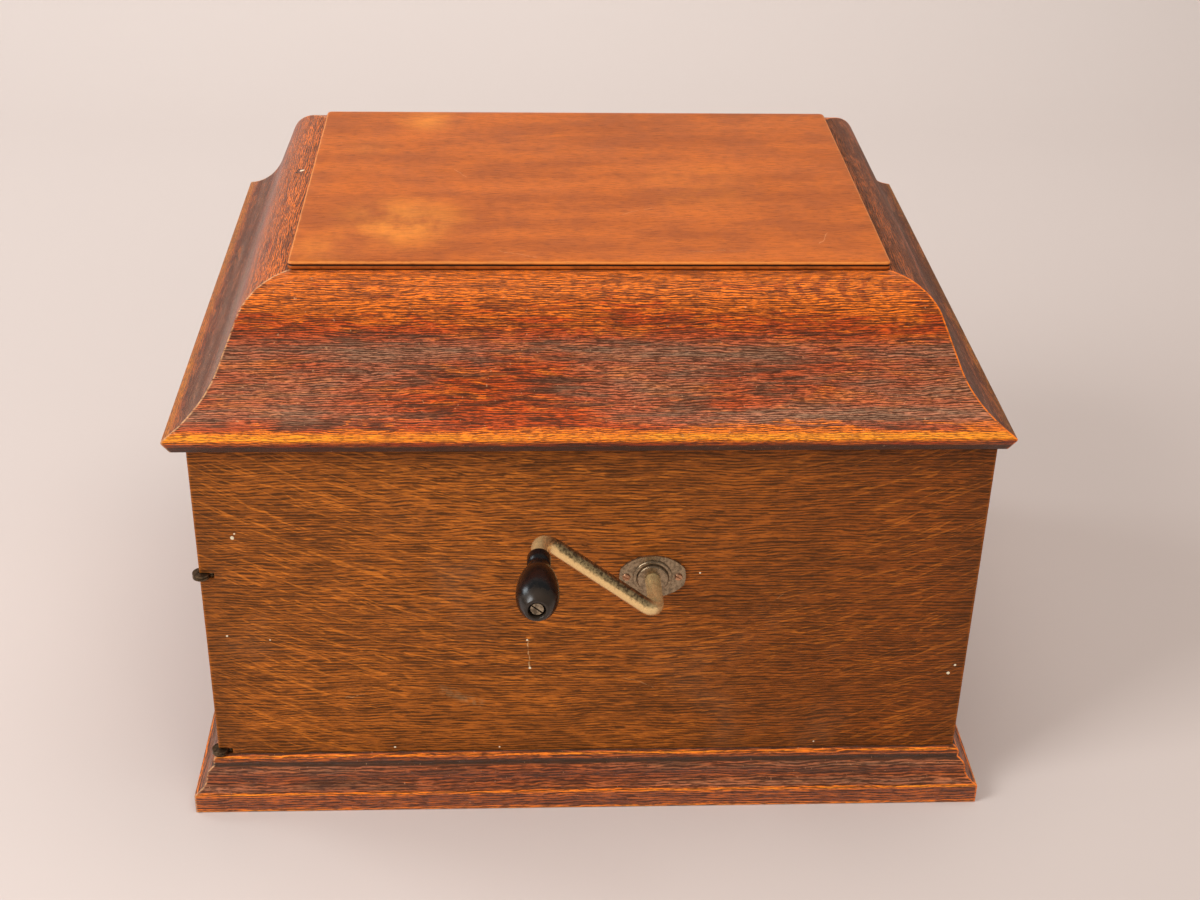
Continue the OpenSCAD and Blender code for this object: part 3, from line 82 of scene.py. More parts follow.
def photo_camera():
    """Rows of the turn are the picture's right, its down and the way it looks. The
    camera's own columns are right, up (minus down) and back (minus the way it looks)."""
    looking_along_minus_x = np.array([[0, 1, 0], [0, 0, -1], [-1, 0, 0]], float)
    rows = turn_matrix(2, VIEW_ROLL) @ turn_matrix(0, VIEW_PITCH) @ turn_matrix(1, VIEW_YAW)
    right, down, ahead = rows @ looking_along_minus_x
    place = np.eye(4)
    place[:3, :3] = np.stack([right, -down, -ahead], 1)
    place[:3, 3] = VIEW_PLACE
    data = bpy.data.cameras.new("photo_camera")
    data.sensor_width = SENSOR_WIDTH
    data.lens = FOCAL_PIXELS / PICTURE_WIDTH * SENSOR_WIDTH
    camera = bpy.data.objects.new("photo_camera", data)
    camera.matrix_world = Matrix(place.tolist())
    bpy.context.scene.collection.objects.link(camera)
    bpy.context.scene.camera = camera
    return data.lens


print("camera: lens", round(photo_camera(), 2), "mm")

# %% [markdown]
# Grids of points
#
# Every new surface is a function of two parameters, worked out for a whole grid at once.
# The mouldings and the crank could be modelled by hand instead, but a formula puts each
# point where the profile has it and gives the wood a map to follow. A grid carries that
# map in metres, along and across the wood's figure or a bar's length, and marks, such as
# how worn each point is. Seams are drawn twice and merged afterwards, so the map stays
# whole where a surface closes on itself.

# %% The faces of a grid


def cells(rows, columns, first):
    """Faces of a grid whose points are numbered row by row from first: cell (i, j) has
    the corners (i, j), (i + 1, j), (i + 1, j + 1) and (i, j + 1)."""
    number = first + np.arange(rows * columns).reshape(rows, columns)
    corners = [number[:-1, :-1], number[1:, :-1], number[1:, 1:], number[:-1, 1:]]
    return np.stack(corners, -1).reshape(-1, 4)


print("a grid of 3 by 4 points has", len(cells(3, 4, 0)), "faces")

# %% Closing and shading a mesh
MERGE = 4e-6


def shade_smooth(mesh, sharp):
    """Shades every face smoothly and marks the edges past the angle, in degrees, sharp."""
    mesh.polygons.foreach_set("use_smooth", np.ones(len(mesh.polygons), bool))
    mesh.set_sharp_from_angle(angle=math.radians(sharp))


def tidy_mesh(mesh, sharp, fill):
    """Merges the seams, closes open ends where asked, points every face outwards and
    shades smoothly up to the sharp angle."""
    work = bmesh.new()
    work.from_mesh(mesh)
    bmesh.ops.remove_doubles(work, verts=work.verts, dist=MERGE)
    if fill:
        rims = [edge for edge in work.edges if edge.is_boundary]
        bmesh.ops.holes_fill(work, edges=rims, sides=0)
    bmesh.ops.recalc_face_normals(work, faces=work.faces)
    work.to_mesh(mesh)
    work.free()
    shade_smooth(mesh, sharp)


print("seams closer than", MERGE, "m are merged")

# %% Pieces from grids


def new_object(name, mesh, material):
    """An object at the origin with one mesh in one material."""
    mesh.materials.clear()
    mesh.materials.append(material)
    piece = bpy.data.objects.new(name, mesh)
    bpy.context.scene.collection.objects.link(piece)
    return piece


def grid_piece(name, grids, material, sharp=35.0, fill=True):
    """One mesh from several grids, each (points, map, marks) with points of shape
    (rows, columns, 3), the map of shape (rows, columns, 2) and marks of (rows, columns)."""
    first, spots, faces, maps, marks = 0, [], [], [], {}
    for points, chart, worn in grids:
        rows, columns = points.shape[:2]
        faces.append(cells(rows, columns, first))
        first += rows * columns
        spots.append(points.reshape(-1, 3))
        maps.append(np.asarray(chart, float).reshape(-1, 2))
        for mark, value in worn.items():
            marks.setdefault(mark, []).append(np.broadcast_to(value, (rows, columns)).ravel())
    mesh = bpy.data.meshes.new(name)
    mesh.from_pydata(np.concatenate(spots).tolist(), [], np.concatenate(faces).tolist())
    corner = np.empty(len(mesh.loops), int)
    mesh.loops.foreach_get("vertex_index", corner)
    chart = mesh.uv_layers.new(name="figure")
    chart.data.foreach_set("uv", np.concatenate(maps)[corner].astype(np.float32).ravel())
    for mark, values in marks.items():
        layer = mesh.attributes.new(mark, "FLOAT", "POINT")
        layer.data.foreach_set("value", np.concatenate(values).astype(np.float32))
    tidy_mesh(mesh, sharp, fill)
    return new_object(name, mesh, material)


def dress(piece, node):
    """The piece rides on the node's body and stands for it."""
    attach(piece, body_of[node])
    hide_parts(node)
    return piece


# %% [markdown]
# Building materials from nodes
#
# A material is a small tree: a pattern of noise gives masks, the masks mix colours, and
# the colours, the roughness and a bump go into one Principled shader. Painted pictures
# could do this too, but noise needs no picture, doesn't repeat and is as sharp close up
# as from afar. These helpers place a node, plug its sockets and hand back its output, so
# a tree reads as a list of steps.

# %% Nodes and sockets


def plug(tree, socket, value):
    """Joins an output to an input socket, or sets the socket's own value."""
    if isinstance(value, bpy.types.NodeSocket):
        tree.links.new(value, socket)
    else:
        socket.default_value = value


def put(tree, kind, inputs=(), out=0, **settings):
    """Adds a node, gives it its settings and inputs, and hands back one output."""
    node = tree.nodes.new(kind)
    for key, value in settings.items():
        setattr(node, key, value)
    for key, value in dict(inputs).items():
        plug(tree, node.inputs[key], value)
    return node.outputs[out]


def colour(red, green, blue):
    return (red, green, blue, 1.0)


print("a colour has", len(colour(1, 1, 1)), "values")

# %% Sums, coordinates and noise


def calc(tree, operation, first, second=0.0, third=0.0):
    inputs = {0: first, 1: second, 2: third}
    return put(tree, "ShaderNodeMath", inputs, operation=operation)


def vector_calc(tree, operation, *values, out=0):
    return put(tree, "ShaderNodeVectorMath", dict(enumerate(values)), out, operation=operation)


def coordinates(tree, kind="Object"):
    return put(tree, "ShaderNodeTexCoord", out=kind)


def mark_of(tree, name):
    """A mark that the mesh carries, such as how worn each point is."""
    return put(tree, "ShaderNodeAttribute", out="Fac", attribute_name=name)


def noise(tree, vector, scale=1.0, detail=2.0, rough=0.5, twist=0.0):
    inputs = {"Vector": vector, "Scale": scale, "Detail": detail, "Roughness": rough,
              "Distortion": twist}
    return put(tree, "ShaderNodeTexNoise", inputs)


def stretched(tree, vector, scale, place=(0, 0, 0), turn=(0, 0, 0)):
    """Coordinates scaled, then turned, then moved; a large scale makes a pattern fine."""
    inputs = {"Vector": vector, "Location": place, "Rotation": turn, "Scale": scale}
    return put(tree, "ShaderNodeMapping", inputs)


def step(tree, value, low, high):
    """0 below low, 1 above high and a smooth S between; low above high turns it round."""
    inputs = {"Value": value, "From Min": low, "From Max": high}
    return put(tree, "ShaderNodeMapRange", inputs, interpolation_type="SMOOTHSTEP")


def mixed(tree, amount, first, second):
    """The first colour where the amount is 0 and the second where it is 1."""
    node = tree.nodes.new("ShaderNodeMix")
    node.data_type = "RGBA"
    for socket, value in zip((node.inputs[0], node.inputs[6], node.inputs[7]),
                             (amount, first, second)):
        plug(tree, socket, value)
    return node.outputs[2]


def laid_over(tree, mask, share, base, tint):
    """The base under a tint that is as strong as the mask times its share."""
    return mixed(tree, calc(tree, "MULTIPLY", mask, share), base, tint)


def split(tree, vector):
    node = tree.nodes.new("ShaderNodeSeparateXYZ")
    plug(tree, node.inputs[0], vector)
    return node.outputs


def joined(tree, x, y, z):
    return put(tree, "ShaderNodeCombineXYZ", {0: x, 1: y, 2: z})


print("noise at a scale of 100 has spots about", round(1 / (100 * MM)), "mm across")

# %% Groups and materials
FLOAT, VECTOR = "NodeSocketFloat", "NodeSocketVector"


def new_group(name, inputs, outputs):
    """A shader node group with named sockets: inputs are (name, kind, value)."""
    group = bpy.data.node_groups.new(name, "ShaderNodeTree")
    for label, kind, value in inputs:
        socket = group.interface.new_socket(label, in_out="INPUT", socket_type=kind)
        if value is not None:
            socket.default_value = value
    for label in outputs:
        group.interface.new_socket(label, in_out="OUTPUT", socket_type="NodeSocketFloat")
    given = group.nodes.new("NodeGroupInput").outputs
    return group, given, group.nodes.new("NodeGroupOutput").inputs


def use(tree, group, inputs):
    """Places a group in a tree with its own inputs and hands back all its outputs."""
    node = tree.nodes.new("ShaderNodeGroup")
    node.node_tree = group
    for key, value in inputs.items():
        plug(tree, node.inputs[key], value)
    return node.outputs


def new_material(name):
    """An empty material, its tree and its Principled shader."""
    material = bpy.data.materials.new(name)
    material.use_nodes = True
    tree = material.node_tree
    return material, tree, tree.nodes["Principled BSDF"]


def finish(tree, shader, base, rough, height=None, depth=0.0, **constants):
    """Plugs the colour, the roughness and a bump of the given depth in metres; the
    constants go on the shader's own sockets."""
    plug(tree, shader.inputs["Base Color"], base)
    plug(tree, shader.inputs["Roughness"], rough)
    if height is not None:
        inputs = {"Height": height, "Distance": depth, "Strength": 1.0}
        plug(tree, shader.inputs["Normal"], put(tree, "ShaderNodeBump", inputs))
    for key, value in constants.items():
        shader.inputs[key.replace("_", " ")].default_value = value


print("groups take", FLOAT, "and", VECTOR)

# %% [markdown]
# Quarter-sawn oak
#
# Oak cut towards the heart shows two figures. Noise stretched along a board would look
# like wood, but not like wood cut this way. The growth rings are fine dark lines that run
# along the board: a sine of the distance across, pushed up and down by noise and broken
# by a second noise. The rays are bright flecks that cross them at a slant, and on a wide
# board they run in arcs, so their noise is read on coordinates bent by a parabola:
# across' = across - bend * (along - middle)^2.

# %% The oak figure group
RING_PITCH, RING_WANDER, RING_CURL, RING_SHAKE = 2.1 * MM, 10.0 * MM, 2.4 * MM, 9.0


def oak_figure_group():
    """Lines are the growth rings, Shade the soft bands between them, Pores the short dark
    dashes, Fleck the rays and Tone the slow change of colour along the board."""
    group, given, result = new_group(
        "oak_figure",
        [("Vector", VECTOR, None), ("Bend", FLOAT, 1.0), ("Middle", FLOAT, 0.02),
         ("Swing", FLOAT, 10.0)],
        ["Lines", "Shade", "Pores", "Fleck", "Tone"])
    vector, bend, middle, swing = given[0], given[1], given[2], given[3]
    along, across, depth = split(group, vector)[:]
    sway = calc(group, "SUBTRACT", noise(group, stretched(group, vector, (8, 24, 8))), 0.5)
    curl = noise(group, stretched(group, vector, (38, 80, 38), (1, 1, 0)), detail=1.0)
    curl = calc(group, "SUBTRACT", curl, 0.5)
    swayed = calc(group, "MULTIPLY_ADD", sway, RING_WANDER, across)
    swayed = calc(group, "MULTIPLY_ADD", curl, RING_CURL, swayed)
    place = joined(group, along, swayed, depth)
    slow = noise(group, stretched(group, vector, (7, 30, 7), (2, 5, 0)))
    quick = noise(group, stretched(group, place, (40, 210, 160)))
    phase = calc(group, "MULTIPLY", swayed, 2 * math.pi / RING_PITCH)
    phase = calc(group, "MULTIPLY_ADD", slow, swing, phase)
    wave = calc(group, "SINE", calc(group, "MULTIPLY_ADD", quick, RING_SHAKE, phase))
    breaks = stretched(group, place, (60, 800, 500), (0, 3, 1))
    height = calc(group, "MULTIPLY_ADD", wave, 0.10, noise(group, breaks, 1.0, 4.0, 0.66))
    plug(group, result["Lines"], step(group, height, 0.495, 0.580))
    shade = stretched(group, place, (17, 150, 110), (6, 0, 0))
    plug(group, result["Shade"], step(group, noise(group, shade, 1.0, 4.0, 0.6), 0.38, 0.66))
    dashes = noise(group, stretched(group, place, (150, 1700, 900)), detail=2.0)
    plug(group, result["Pores"], step(group, dashes, 0.50, 0.62))
    off = calc(group, "SUBTRACT", along, middle)
    arc = calc(group, "MULTIPLY", calc(group, "MULTIPLY", off, off), bend)
    bent = joined(group, along, calc(group, "SUBTRACT", swayed, arc), depth)
    long = stretched(group, bent, (26, 250, 180), (3, 7, 0))
    long = step(group, noise(group, long, detail=2.5, twist=2.0), 0.55, 0.62)
    short = stretched(group, bent, (60, 560, 300), (9, 2, 0))
    short = step(group, noise(group, short, detail=2.0, twist=1.8), 0.60, 0.68)
    patch = step(group, noise(group, stretched(group, vector, (8, 12, 8), (5, 1, 0))), 0.32, 0.56)
    rays = calc(group, "MULTIPLY", long, patch)
    rays = calc(group, "MAXIMUM", rays, calc(group, "MULTIPLY", short, 0.34))
    plug(group, result["Fleck"], rays)
    tone = noise(group, stretched(group, vector, (4, 13, 5), (0, 9, 0)), detail=3.0)
    plug(group, result["Tone"], step(group, tone, 0.30, 0.70))
    return group


OAK_FIGURE = oak_figure_group()
print("group:", OAK_FIGURE.name, "gives", [item.name for item in OAK_FIGURE.interface.items_tree])

# %% [markdown]
# Wear
#
# Edges and corners lose their stain first. Blender's Pointiness could find them, but it
# depends on how fine the mesh is. So on boards the distance to the nearest edge is worked
# out from the object's own coordinates and the middle and half size of the board's box; a
# little noise breaks the line up. Chips are single spots at given places, made ragged by
# a finer noise.

# %% The edge wear group


def edge_wear_group():
    """Wear is 1 within about a millimetre of two faces at once: the second smallest of
    the three distances to the box's faces says how near an edge is."""
    group, given, result = new_group(
        "edge_wear",
        [("Vector", VECTOR, None), ("Middle", VECTOR, (0, 0, 0)), ("Half", VECTOR, (1, 1, 1)),
         ("Reach", FLOAT, 0.002)],
        ["Wear", "Near"])
    off = vector_calc(group, "SUBTRACT", given[0], given[1])
    size = vector_calc(group, "ABSOLUTE", off)
    left = vector_calc(group, "SUBTRACT", given[2], size)
    a, b, c = split(group, left)[:]
    low = calc(group, "MINIMUM", calc(group, "MAXIMUM", a, b), calc(group, "MAXIMUM", b, c))
    second = calc(group, "MINIMUM", low, calc(group, "MAXIMUM", a, c))
    ragged = noise(group, stretched(group, given[0], (60, 60, 60)), detail=4.0, rough=0.7)
    reach = calc(group, "MULTIPLY", given[3], calc(group, "MULTIPLY", ragged, 2.0))
    plug(group, result["Wear"], step(group, calc(group, "DIVIDE", second, reach), 1.0, 0.45))
    plug(group, result["Near"], step(group, second, 0.03, 0.0))
    return group


EDGE_WEAR = edge_wear_group()
print("group:", EDGE_WEAR.name)

# %% The chip and scratch groups


def chip_group():
    """A ragged spot of a given radius about a place."""
    group, given, result = new_group(
        "chip", [("Vector", VECTOR, None), ("Place", VECTOR, (0, 0, 0)), ("Size", FLOAT, 0.001)],
        ["Chip"])
    far = vector_calc(group, "DISTANCE", given[0], given[1], out="Value")
    ragged = noise(group, given[0], 700.0, 2.0)
    edge = calc(group, "MULTIPLY", given[2], calc(group, "ADD", ragged, 0.5))
    plug(group, result["Chip"], step(group, calc(group, "DIVIDE", far, edge), 1.05, 0.85))
    return group


def scratch_group():
    """A thin wavering line: near the straight from start to end, and between the two."""
    group, given, result = new_group(
        "scratch", [("Vector", VECTOR, None), ("Start", VECTOR, (0, 0, 0)),
                    ("Run", VECTOR, (0, 0, 1)), ("Width", FLOAT, 0.001),
                    ("Shake", VECTOR, (0, 0.006, 0.006))], ["Scratch"])
    shake = put(group, "ShaderNodeTexNoise", {"Vector": given[0], "Scale": 90.0}, out=1)
    shaken = vector_calc(group, "MULTIPLY_ADD", shake, given[4], given[0])
    off = vector_calc(group, "SUBTRACT", shaken, given[1])
    length = vector_calc(group, "LENGTH", given[2], out="Value")
    area = vector_calc(group, "CROSS_PRODUCT", off, given[2])
    area = vector_calc(group, "LENGTH", area, out="Value")
    far = calc(group, "DIVIDE", area, length)
    share = vector_calc(group, "DOT_PRODUCT", off, given[2], out="Value")
    share = calc(group, "DIVIDE", share, calc(group, "MULTIPLY", length, length))
    from_middle = calc(group, "ABSOLUTE", calc(group, "SUBTRACT", share, 0.5))
    broken = step(group, noise(group, given[0], 260.0, 3.0), 0.36, 0.56)
    line = step(group, calc(group, "DIVIDE", far, given[3]), 1.0, 0.3)
    line = calc(group, "MULTIPLY", line, broken)
    line = calc(group, "MULTIPLY", line, step(group, from_middle, 0.53, 0.42))
    plug(group, result["Scratch"], line)
    return group


CHIP, SCRATCH = chip_group(), scratch_group()
print("groups:", CHIP.name, SCRATCH.name)

# %% Several marks at once


def scratches(tree, vector, lines, shake):
    """The strongest of several scratches, each (x, y, z, dx, dy, dz, width, strength). shake
    is how far noise moves them each way; its mean is a half, so the start moves by that."""
    total = 0.0
    for x, y, z, dx, dy, dz, width, strength in lines:
        start = tuple((np.array((x, y, z)) + np.array(shake) / 2) * MM)
        inputs = {"Vector": vector, "Start": start, "Run": (dx * MM, dy * MM, dz * MM),
                  "Width": width * MM, "Shake": tuple(np.array(shake) * MM)}
        line = calc(tree, "MULTIPLY", use(tree, SCRATCH, inputs)["Scratch"], strength)
        total = calc(tree, "MAXIMUM", line, total)
    return total


def chips(tree, vector, places):
    """The largest of several chip masks, each (x, y, z, radius) in millimetres."""
    total = 0.0
    for x, y, z, radius in places:
        inputs = {"Vector": vector, "Place": (x * MM, y * MM, z * MM), "Size": radius * MM}
        total = calc(tree, "MAXIMUM", use(tree, CHIP, inputs)["Chip"], total)
    return total


print("places of marks are in millimetres, so a metre has", round(1 / MM))

# %% [markdown]
# The panels
#
# The case's sides, back, front rail and doors share one finish: brown-orange stain that
# is darkest in the pores and brightest in the rays, under a satin varnish, with a grey
# bloom of old dust in places. One material for all would be shorter, but one figure would
# then run through every board. So each board reads the figure in its own plane and at its
# own place, grain lying level.

# %% The panel finish
PANEL_DARK = colour(0.058, 0.0195, 0.0040)
PANEL_MID = colour(0.390, 0.104, 0.0125)
PANEL_WARM = colour(0.500, 0.134, 0.0145)
PANEL_BRIGHT = colour(0.790, 0.222, 0.0220)
PANEL_SHADE_RED = colour(0.230, 0.043, 0.0045)
BARE_OAK = colour(0.62, 0.36, 0.16)
PAINT_CHIP = colour(0.86, 0.74, 0.52)
DUST = colour(0.24, 0.16, 0.10)
WEAR_REACH, PANEL_RELIEF, RAY_MIDDLE = 1.6 * MM, 0.14 * MM, 20.0 * MM


def panel_oak(name, turn, place, middle, half, bend=1.02, marks=(), lines=(), painted_shade_span=None):
    """Oak for one board. turn and place carry the object's coordinates to (along, across,
    depth); middle and half are the board's box, for the wear of its edges.
    painted_shade_span gives the two places along the grain between which painted shade
    turns the stain red and dark, where the windows' light falls off."""
    material, tree, shader = new_material(name)
    vector = coordinates(tree)
    board = stretched(tree, vector, (1, 1, 1), place, turn)
    figure = use(tree, OAK_FIGURE, {"Vector": board, "Bend": bend, "Middle": place[0] + RAY_MIDDLE})
    wear = use(tree, EDGE_WEAR, {"Vector": vector, "Middle": middle, "Half": half,
                                 "Reach": WEAR_REACH})
    base = mixed(tree, figure["Tone"], PANEL_MID, PANEL_WARM)
    shine = 0.66
    # Painted shade: the board turns redder and darker between the two places, and its rays dimmer.
    if painted_shade_span:
        turned = step(tree, split(tree, board)[0], *painted_shade_span)
        base = laid_over(tree, turned, 0.62, base, PANEL_SHADE_RED)
        shine = calc(tree, "MULTIPLY_ADD", turned, -0.30, shine)
    base = laid_over(tree, figure["Shade"], 0.36, base, PANEL_DARK)
    base = laid_over(tree, figure["Fleck"], shine, base, PANEL_BRIGHT)
    shown = calc(tree, "MULTIPLY_ADD", figure["Fleck"], -0.45, 0.84)
    base = laid_over(tree, figure["Lines"], shown, base, PANEL_DARK)
    base = laid_over(tree, figure["Pores"], 0.52, base, PANEL_DARK)
    cloud = noise(tree, stretched(tree, vector, (7, 9, 9), (2, 0, 4)), detail=4.0, rough=0.6)
    bloom = calc(tree, "MULTIPLY", step(tree, cloud, 0.54, 0.76), 0.16)
    base = mixed(tree, bloom, base, DUST)
    base = laid_over(tree, wear["Near"], 0.30, base, PANEL_DARK)
    base = laid_over(tree, wear["Wear"], 0.16, base, PANEL_BRIGHT)
    if lines:
        base = mixed(tree, scratches(tree, vector, lines, (0, 6, 6)), base, BARE_OAK)
    if marks:
        base = mixed(tree, chips(tree, vector, marks), base, PAINT_CHIP)
    rough = calc(tree, "MULTIPLY_ADD", figure["Lines"], 0.12, 0.40)
    rings = calc(tree, "MULTIPLY", figure["Lines"], 0.7)
    height = calc(tree, "SUBTRACT", 1.0, calc(tree, "MAXIMUM", figure["Pores"], rings))
    finish(tree, shader, base, rough, height, PANEL_RELIEF, Specular_IOR_Level=0.16)
    return material


print("panel colours from", PANEL_DARK[:3], "to", PANEL_BRIGHT[:3])

# %% The boards


def box_of(node):
    """The middle and half size of a node's box."""
    low, high = (np.array(corner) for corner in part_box(node))
    return tuple((low + high) / 2), tuple((high - low) / 2)


LEVEL_ALONG_Y = (0, math.radians(-90), math.radians(-90))
LEVEL_ALONG_X = (math.radians(-90), 0, 0)
CASE_W, CASE_D = 397.0, 490.0
CASE_SIDE = CASE_W / 2
RIGHT_PANEL_MARKS = [(CASE_SIDE, *mark) for mark in (
    (-222.6, 205.6, 1.3), (-221.0, 208.6, 0.6), (-231.8, 131.9, 0.7), (-205.0, 128.5, 0.5),
    (-41.7, 126.6, 0.7), (-39.8, 104.3, 0.9), (238.3, 103.2, 0.9), (234.5, 96.8, 1.1),
    (67.1, 177.2, 0.6), (-129.2, 40.4, 0.8), (-60.0, 39.5, 0.6), (150.0, 41.0, 0.6))]
RIGHT_PANEL_SCRATCHES = [(CASE_SIDE, *line) for line in (
    (-41.7, 127.0, 0, 1.9, -23.0, 0.6, 0.85), (-100, 89, 0, 30, -15, 5.0, 0.16),
    (-90, 83, 0, 18, -9, 2.0, 0.20), (-160.4, 81, 0, 13.4, 3.6, 0.35, 0.50),
    (20.0, 96, 0, 22, -9, 0.30, 0.35), (112.0, 150, 0, 9, 12, 0.30, 0.30))]
PANEL_FINISH = {
    "side_panel_right": panel_oak("oak_right", LEVEL_ALONG_Y, (0, 0, 0),
                                  *box_of("side_panel_right"), marks=RIGHT_PANEL_MARKS,
                                  lines=RIGHT_PANEL_SCRATCHES, painted_shade_span=(-0.06, 0.26)),
    "side_panel_left": panel_oak("oak_left", LEVEL_ALONG_Y, (1.3, 0.4, 0),
                                 *box_of("side_panel_left"), bend=-0.8),
    "back_panel": panel_oak("oak_back", LEVEL_ALONG_X, (2.2, 0.9, 0), *box_of("back_panel")),
    "front_rail": panel_oak("oak_rail", LEVEL_ALONG_X, (3.1, 1.7, 0), *box_of("front_rail"),
                            bend=0.7),
    "door_right": panel_oak("oak_door_right", LEVEL_ALONG_X, (4.4, 2.3, 0),
                            *box_of("door_right"), bend=1.6),
    "door_left": panel_oak("oak_door_left", LEVEL_ALONG_X, (5.6, 2.9, 0),
                           *box_of("door_left"), bend=-1.4)}
print("panels:", ", ".join(PANEL_FINISH))

# %% [markdown]
# The moulded rails
#
# Lid and base are frames of four rails with mitred corners. The stain there is redder and
# has worn through to orange along the lip and the arrises, the hollow of the lid is
# clouded grey with dust and a painted sheen, the lid's upper round is painted lighter
# where it faces up, and the lid's back rail and the ledge of its front one are dark with
# old soot and painted shade; painted shade also lies next to the board, in the creases,
# under the nose and on faces that look forward. On the object's coordinates the grain
# would run straight through the curves. So the rails carry a map along and across the
# moulding and marks for the wear and the shade, the clouds, the soot and shade and the
# distance to the mitre, and the finish follows the shape.

# %% The rails' colours and arches
RAIL_SHADE = colour(0.050, 0.0125, 0.0040)
RAIL_RED = colour(0.640, 0.080, 0.0070)
RAIL_BROWN = colour(0.250, 0.090, 0.0260)
RAIL_DEEP = colour(0.120, 0.0270, 0.0070)
RAIL_ORANGE = colour(0.950, 0.205, 0.0120)
RAIL_DUST_AND_SHEEN = colour(0.410, 0.222, 0.1250)
RAIL_PLAIN = colour(0.230, 0.080, 0.0200)
RAIL_SOOT_AND_SHADE = colour(0.130, 0.048, 0.0200)
HOLE_DARK = colour(0.020, 0.010, 0.006)
ARCH_RED = colour(0.330, 0.048, 0.0060)
LIP_ORANGE = colour(1.0, 0.300, 0.0120)
RAIL_DIRT_AND_SHADE = colour(0.050, 0.022, 0.010)
MITRE_LIGHT = colour(0.70, 0.36, 0.17)
RAIL_RELIEF, JOINT_WIDE, JOINT_NARROW = 0.18 * MM, 1.3 * MM, 0.3 * MM
ARCH_PITCH, ARCH_CURVE, ARCH_SHAKE = 12.5 * MM, 70.0, 9.0


def cathedral(tree, chart, along, across):
    """The pointed arches of a board cut flat: rings of (along - start) - k * across^2, shown
    in a window about the place. Gives the arches and the window."""
    x, y, _ = split(tree, chart)[:]
    off = calc(tree, "SUBTRACT", y, across)
    shake = noise(tree, chart, 70.0, 3.0)
    place = calc(tree, "MULTIPLY_ADD", calc(tree, "MULTIPLY", off, off), -ARCH_CURVE,
                 calc(tree, "SUBTRACT", x, along))
    phase = calc(tree, "MULTIPLY_ADD", place, 2 * math.pi / ARCH_PITCH,
                 calc(tree, "MULTIPLY", shake, ARCH_SHAKE))
    beside = step(tree, calc(tree, "ABSOLUTE", off), 15 * MM, 7 * MM)
    off = calc(tree, "ABSOLUTE", calc(tree, "SUBTRACT", place, 30 * MM))
    window = calc(tree, "MULTIPLY", beside, step(tree, off, 42 * MM, 26 * MM))
    return step(tree, calc(tree, "SINE", phase), -0.8, 0.0), window


print("arches every", round(ARCH_PITCH / MM, 1), "mm")

# %% The rails' stain


def rail_patterns(tree, chart):
    """Noises stretched along the grain: wide and narrow bands, flames, ragged breaks and
    large patches."""
    wide = stretched(tree, chart, (7, 60, 1))
    narrow = stretched(tree, chart, (26, 330, 1), (0, 3, 0))
    flame = stretched(tree, chart, (17, 105, 1), (7, 1, 0))
    ragged = stretched(tree, chart, (46, 300, 1), (4, 0, 0))
    patchy = stretched(tree, chart, (5, 17, 1), (0, 8, 0))
    return {"wide": noise(tree, wide, detail=5.0, rough=0.65),
            "narrow": noise(tree, narrow, detail=4.0, rough=0.68),
            "flame": noise(tree, flame, detail=5.0, rough=0.72, twist=1.4),
            "ragged": noise(tree, ragged, detail=5.0, rough=0.75),
            "patchy": noise(tree, patchy, detail=4.0, rough=0.6)}


def rail_stain(tree, seen, dust_and_sheen, glow, brown):
    """Red over deep brown, orange on the high parts, which on the lid's upper round is
    painted light where it faces up, with dark streaks along the grain and grey clouds of
    dust and painted sheen in the hollows. seen holds the patterns and the mesh's marks."""
    depth = calc(tree, "ADD", seen["wide"], seen["narrow"])
    # The high mark lifts the high parts to red and orange; on the lid's upper round this is painted
    # light.
    depth = calc(tree, "MULTIPLY_ADD", seen["high"], 0.26, depth)
    depth = calc(tree, "MULTIPLY_ADD", seen["cloud"], -0.05, depth)
    base = mixed(tree, step(tree, depth, 0.76, 1.02), RAIL_DEEP, RAIL_RED)
    base = mixed(tree, brown, base, RAIL_BROWN)
    warm = calc(tree, "MULTIPLY", seen["flame"], 0.9)
    warm = calc(tree, "MULTIPLY_ADD", seen["high"], 0.20, warm)
    warm = calc(tree, "MULTIPLY_ADD", seen["wide"], 0.35, warm)
    base = laid_over(tree, step(tree, warm, 0.62, 0.76), glow, base, RAIL_ORANGE)
    base = laid_over(tree, step(tree, seen["narrow"], 0.51, 0.42), 0.60, base, RAIL_DEEP)
    # Dust and a painted sheen: grey in the hollows where the cloud mark says.
    shade = calc(tree, "MULTIPLY", seen["cloud"], step(tree, seen["patchy"], 0.32, 0.60))
    return laid_over(tree, shade, dust_and_sheen, base, RAIL_DUST_AND_SHEEN)


print("stain from", RAIL_DEEP[:3], "over", RAIL_RED[:3], "to", RAIL_ORANGE[:3])

# %% The rails' wear, soot, painted shade and joints


def rail_wear(tree, seen, base):
    """Orange where the stain is worn thin and brighter still along the lip. Gives the
    colour and how bright it has become."""
    licked = calc(tree, "MULTIPLY_ADD", seen["flame"], 1.5, seen["worn"])
    base = mixed(tree, step(tree, licked, 0.98, 1.16), base, RAIL_ORANGE)
    bright = calc(tree, "MULTIPLY_ADD", seen["ragged"], 1.1, seen["worn"])
    bright = step(tree, bright, 1.12, 1.42)
    here = calc(tree, "MULTIPLY_ADD", step(tree, seen["patchy"], 0.34, 0.52), 0.7, 0.3)
    return laid_over(tree, bright, here, base, LIP_ORANGE), bright


def rail_soot_and_shade(tree, seen, base):
    """Soot and painted shade where its mark says, broken up in flames, and painted shade on
    faces that look forward. Gives the colour and the soot and shade."""
    broken_in_flames = calc(tree, "MULTIPLY_ADD", step(tree, seen["flame"], 0.46, 0.60), -0.34, 1.0)
    soot_and_shade = calc(tree, "MULTIPLY", seen["soot_and_shade"], broken_in_flames)
    base = mixed(tree, soot_and_shade, base, RAIL_SOOT_AND_SHADE)
    # Painted shade: faces that look forward, towards -Y, are darkened.
    forward = split(tree, coordinates(tree, "Normal"))[1]
    return laid_over(tree, step(tree, forward, -0.2, -0.6), 0.34, base, RAIL_DEEP), soot_and_shade


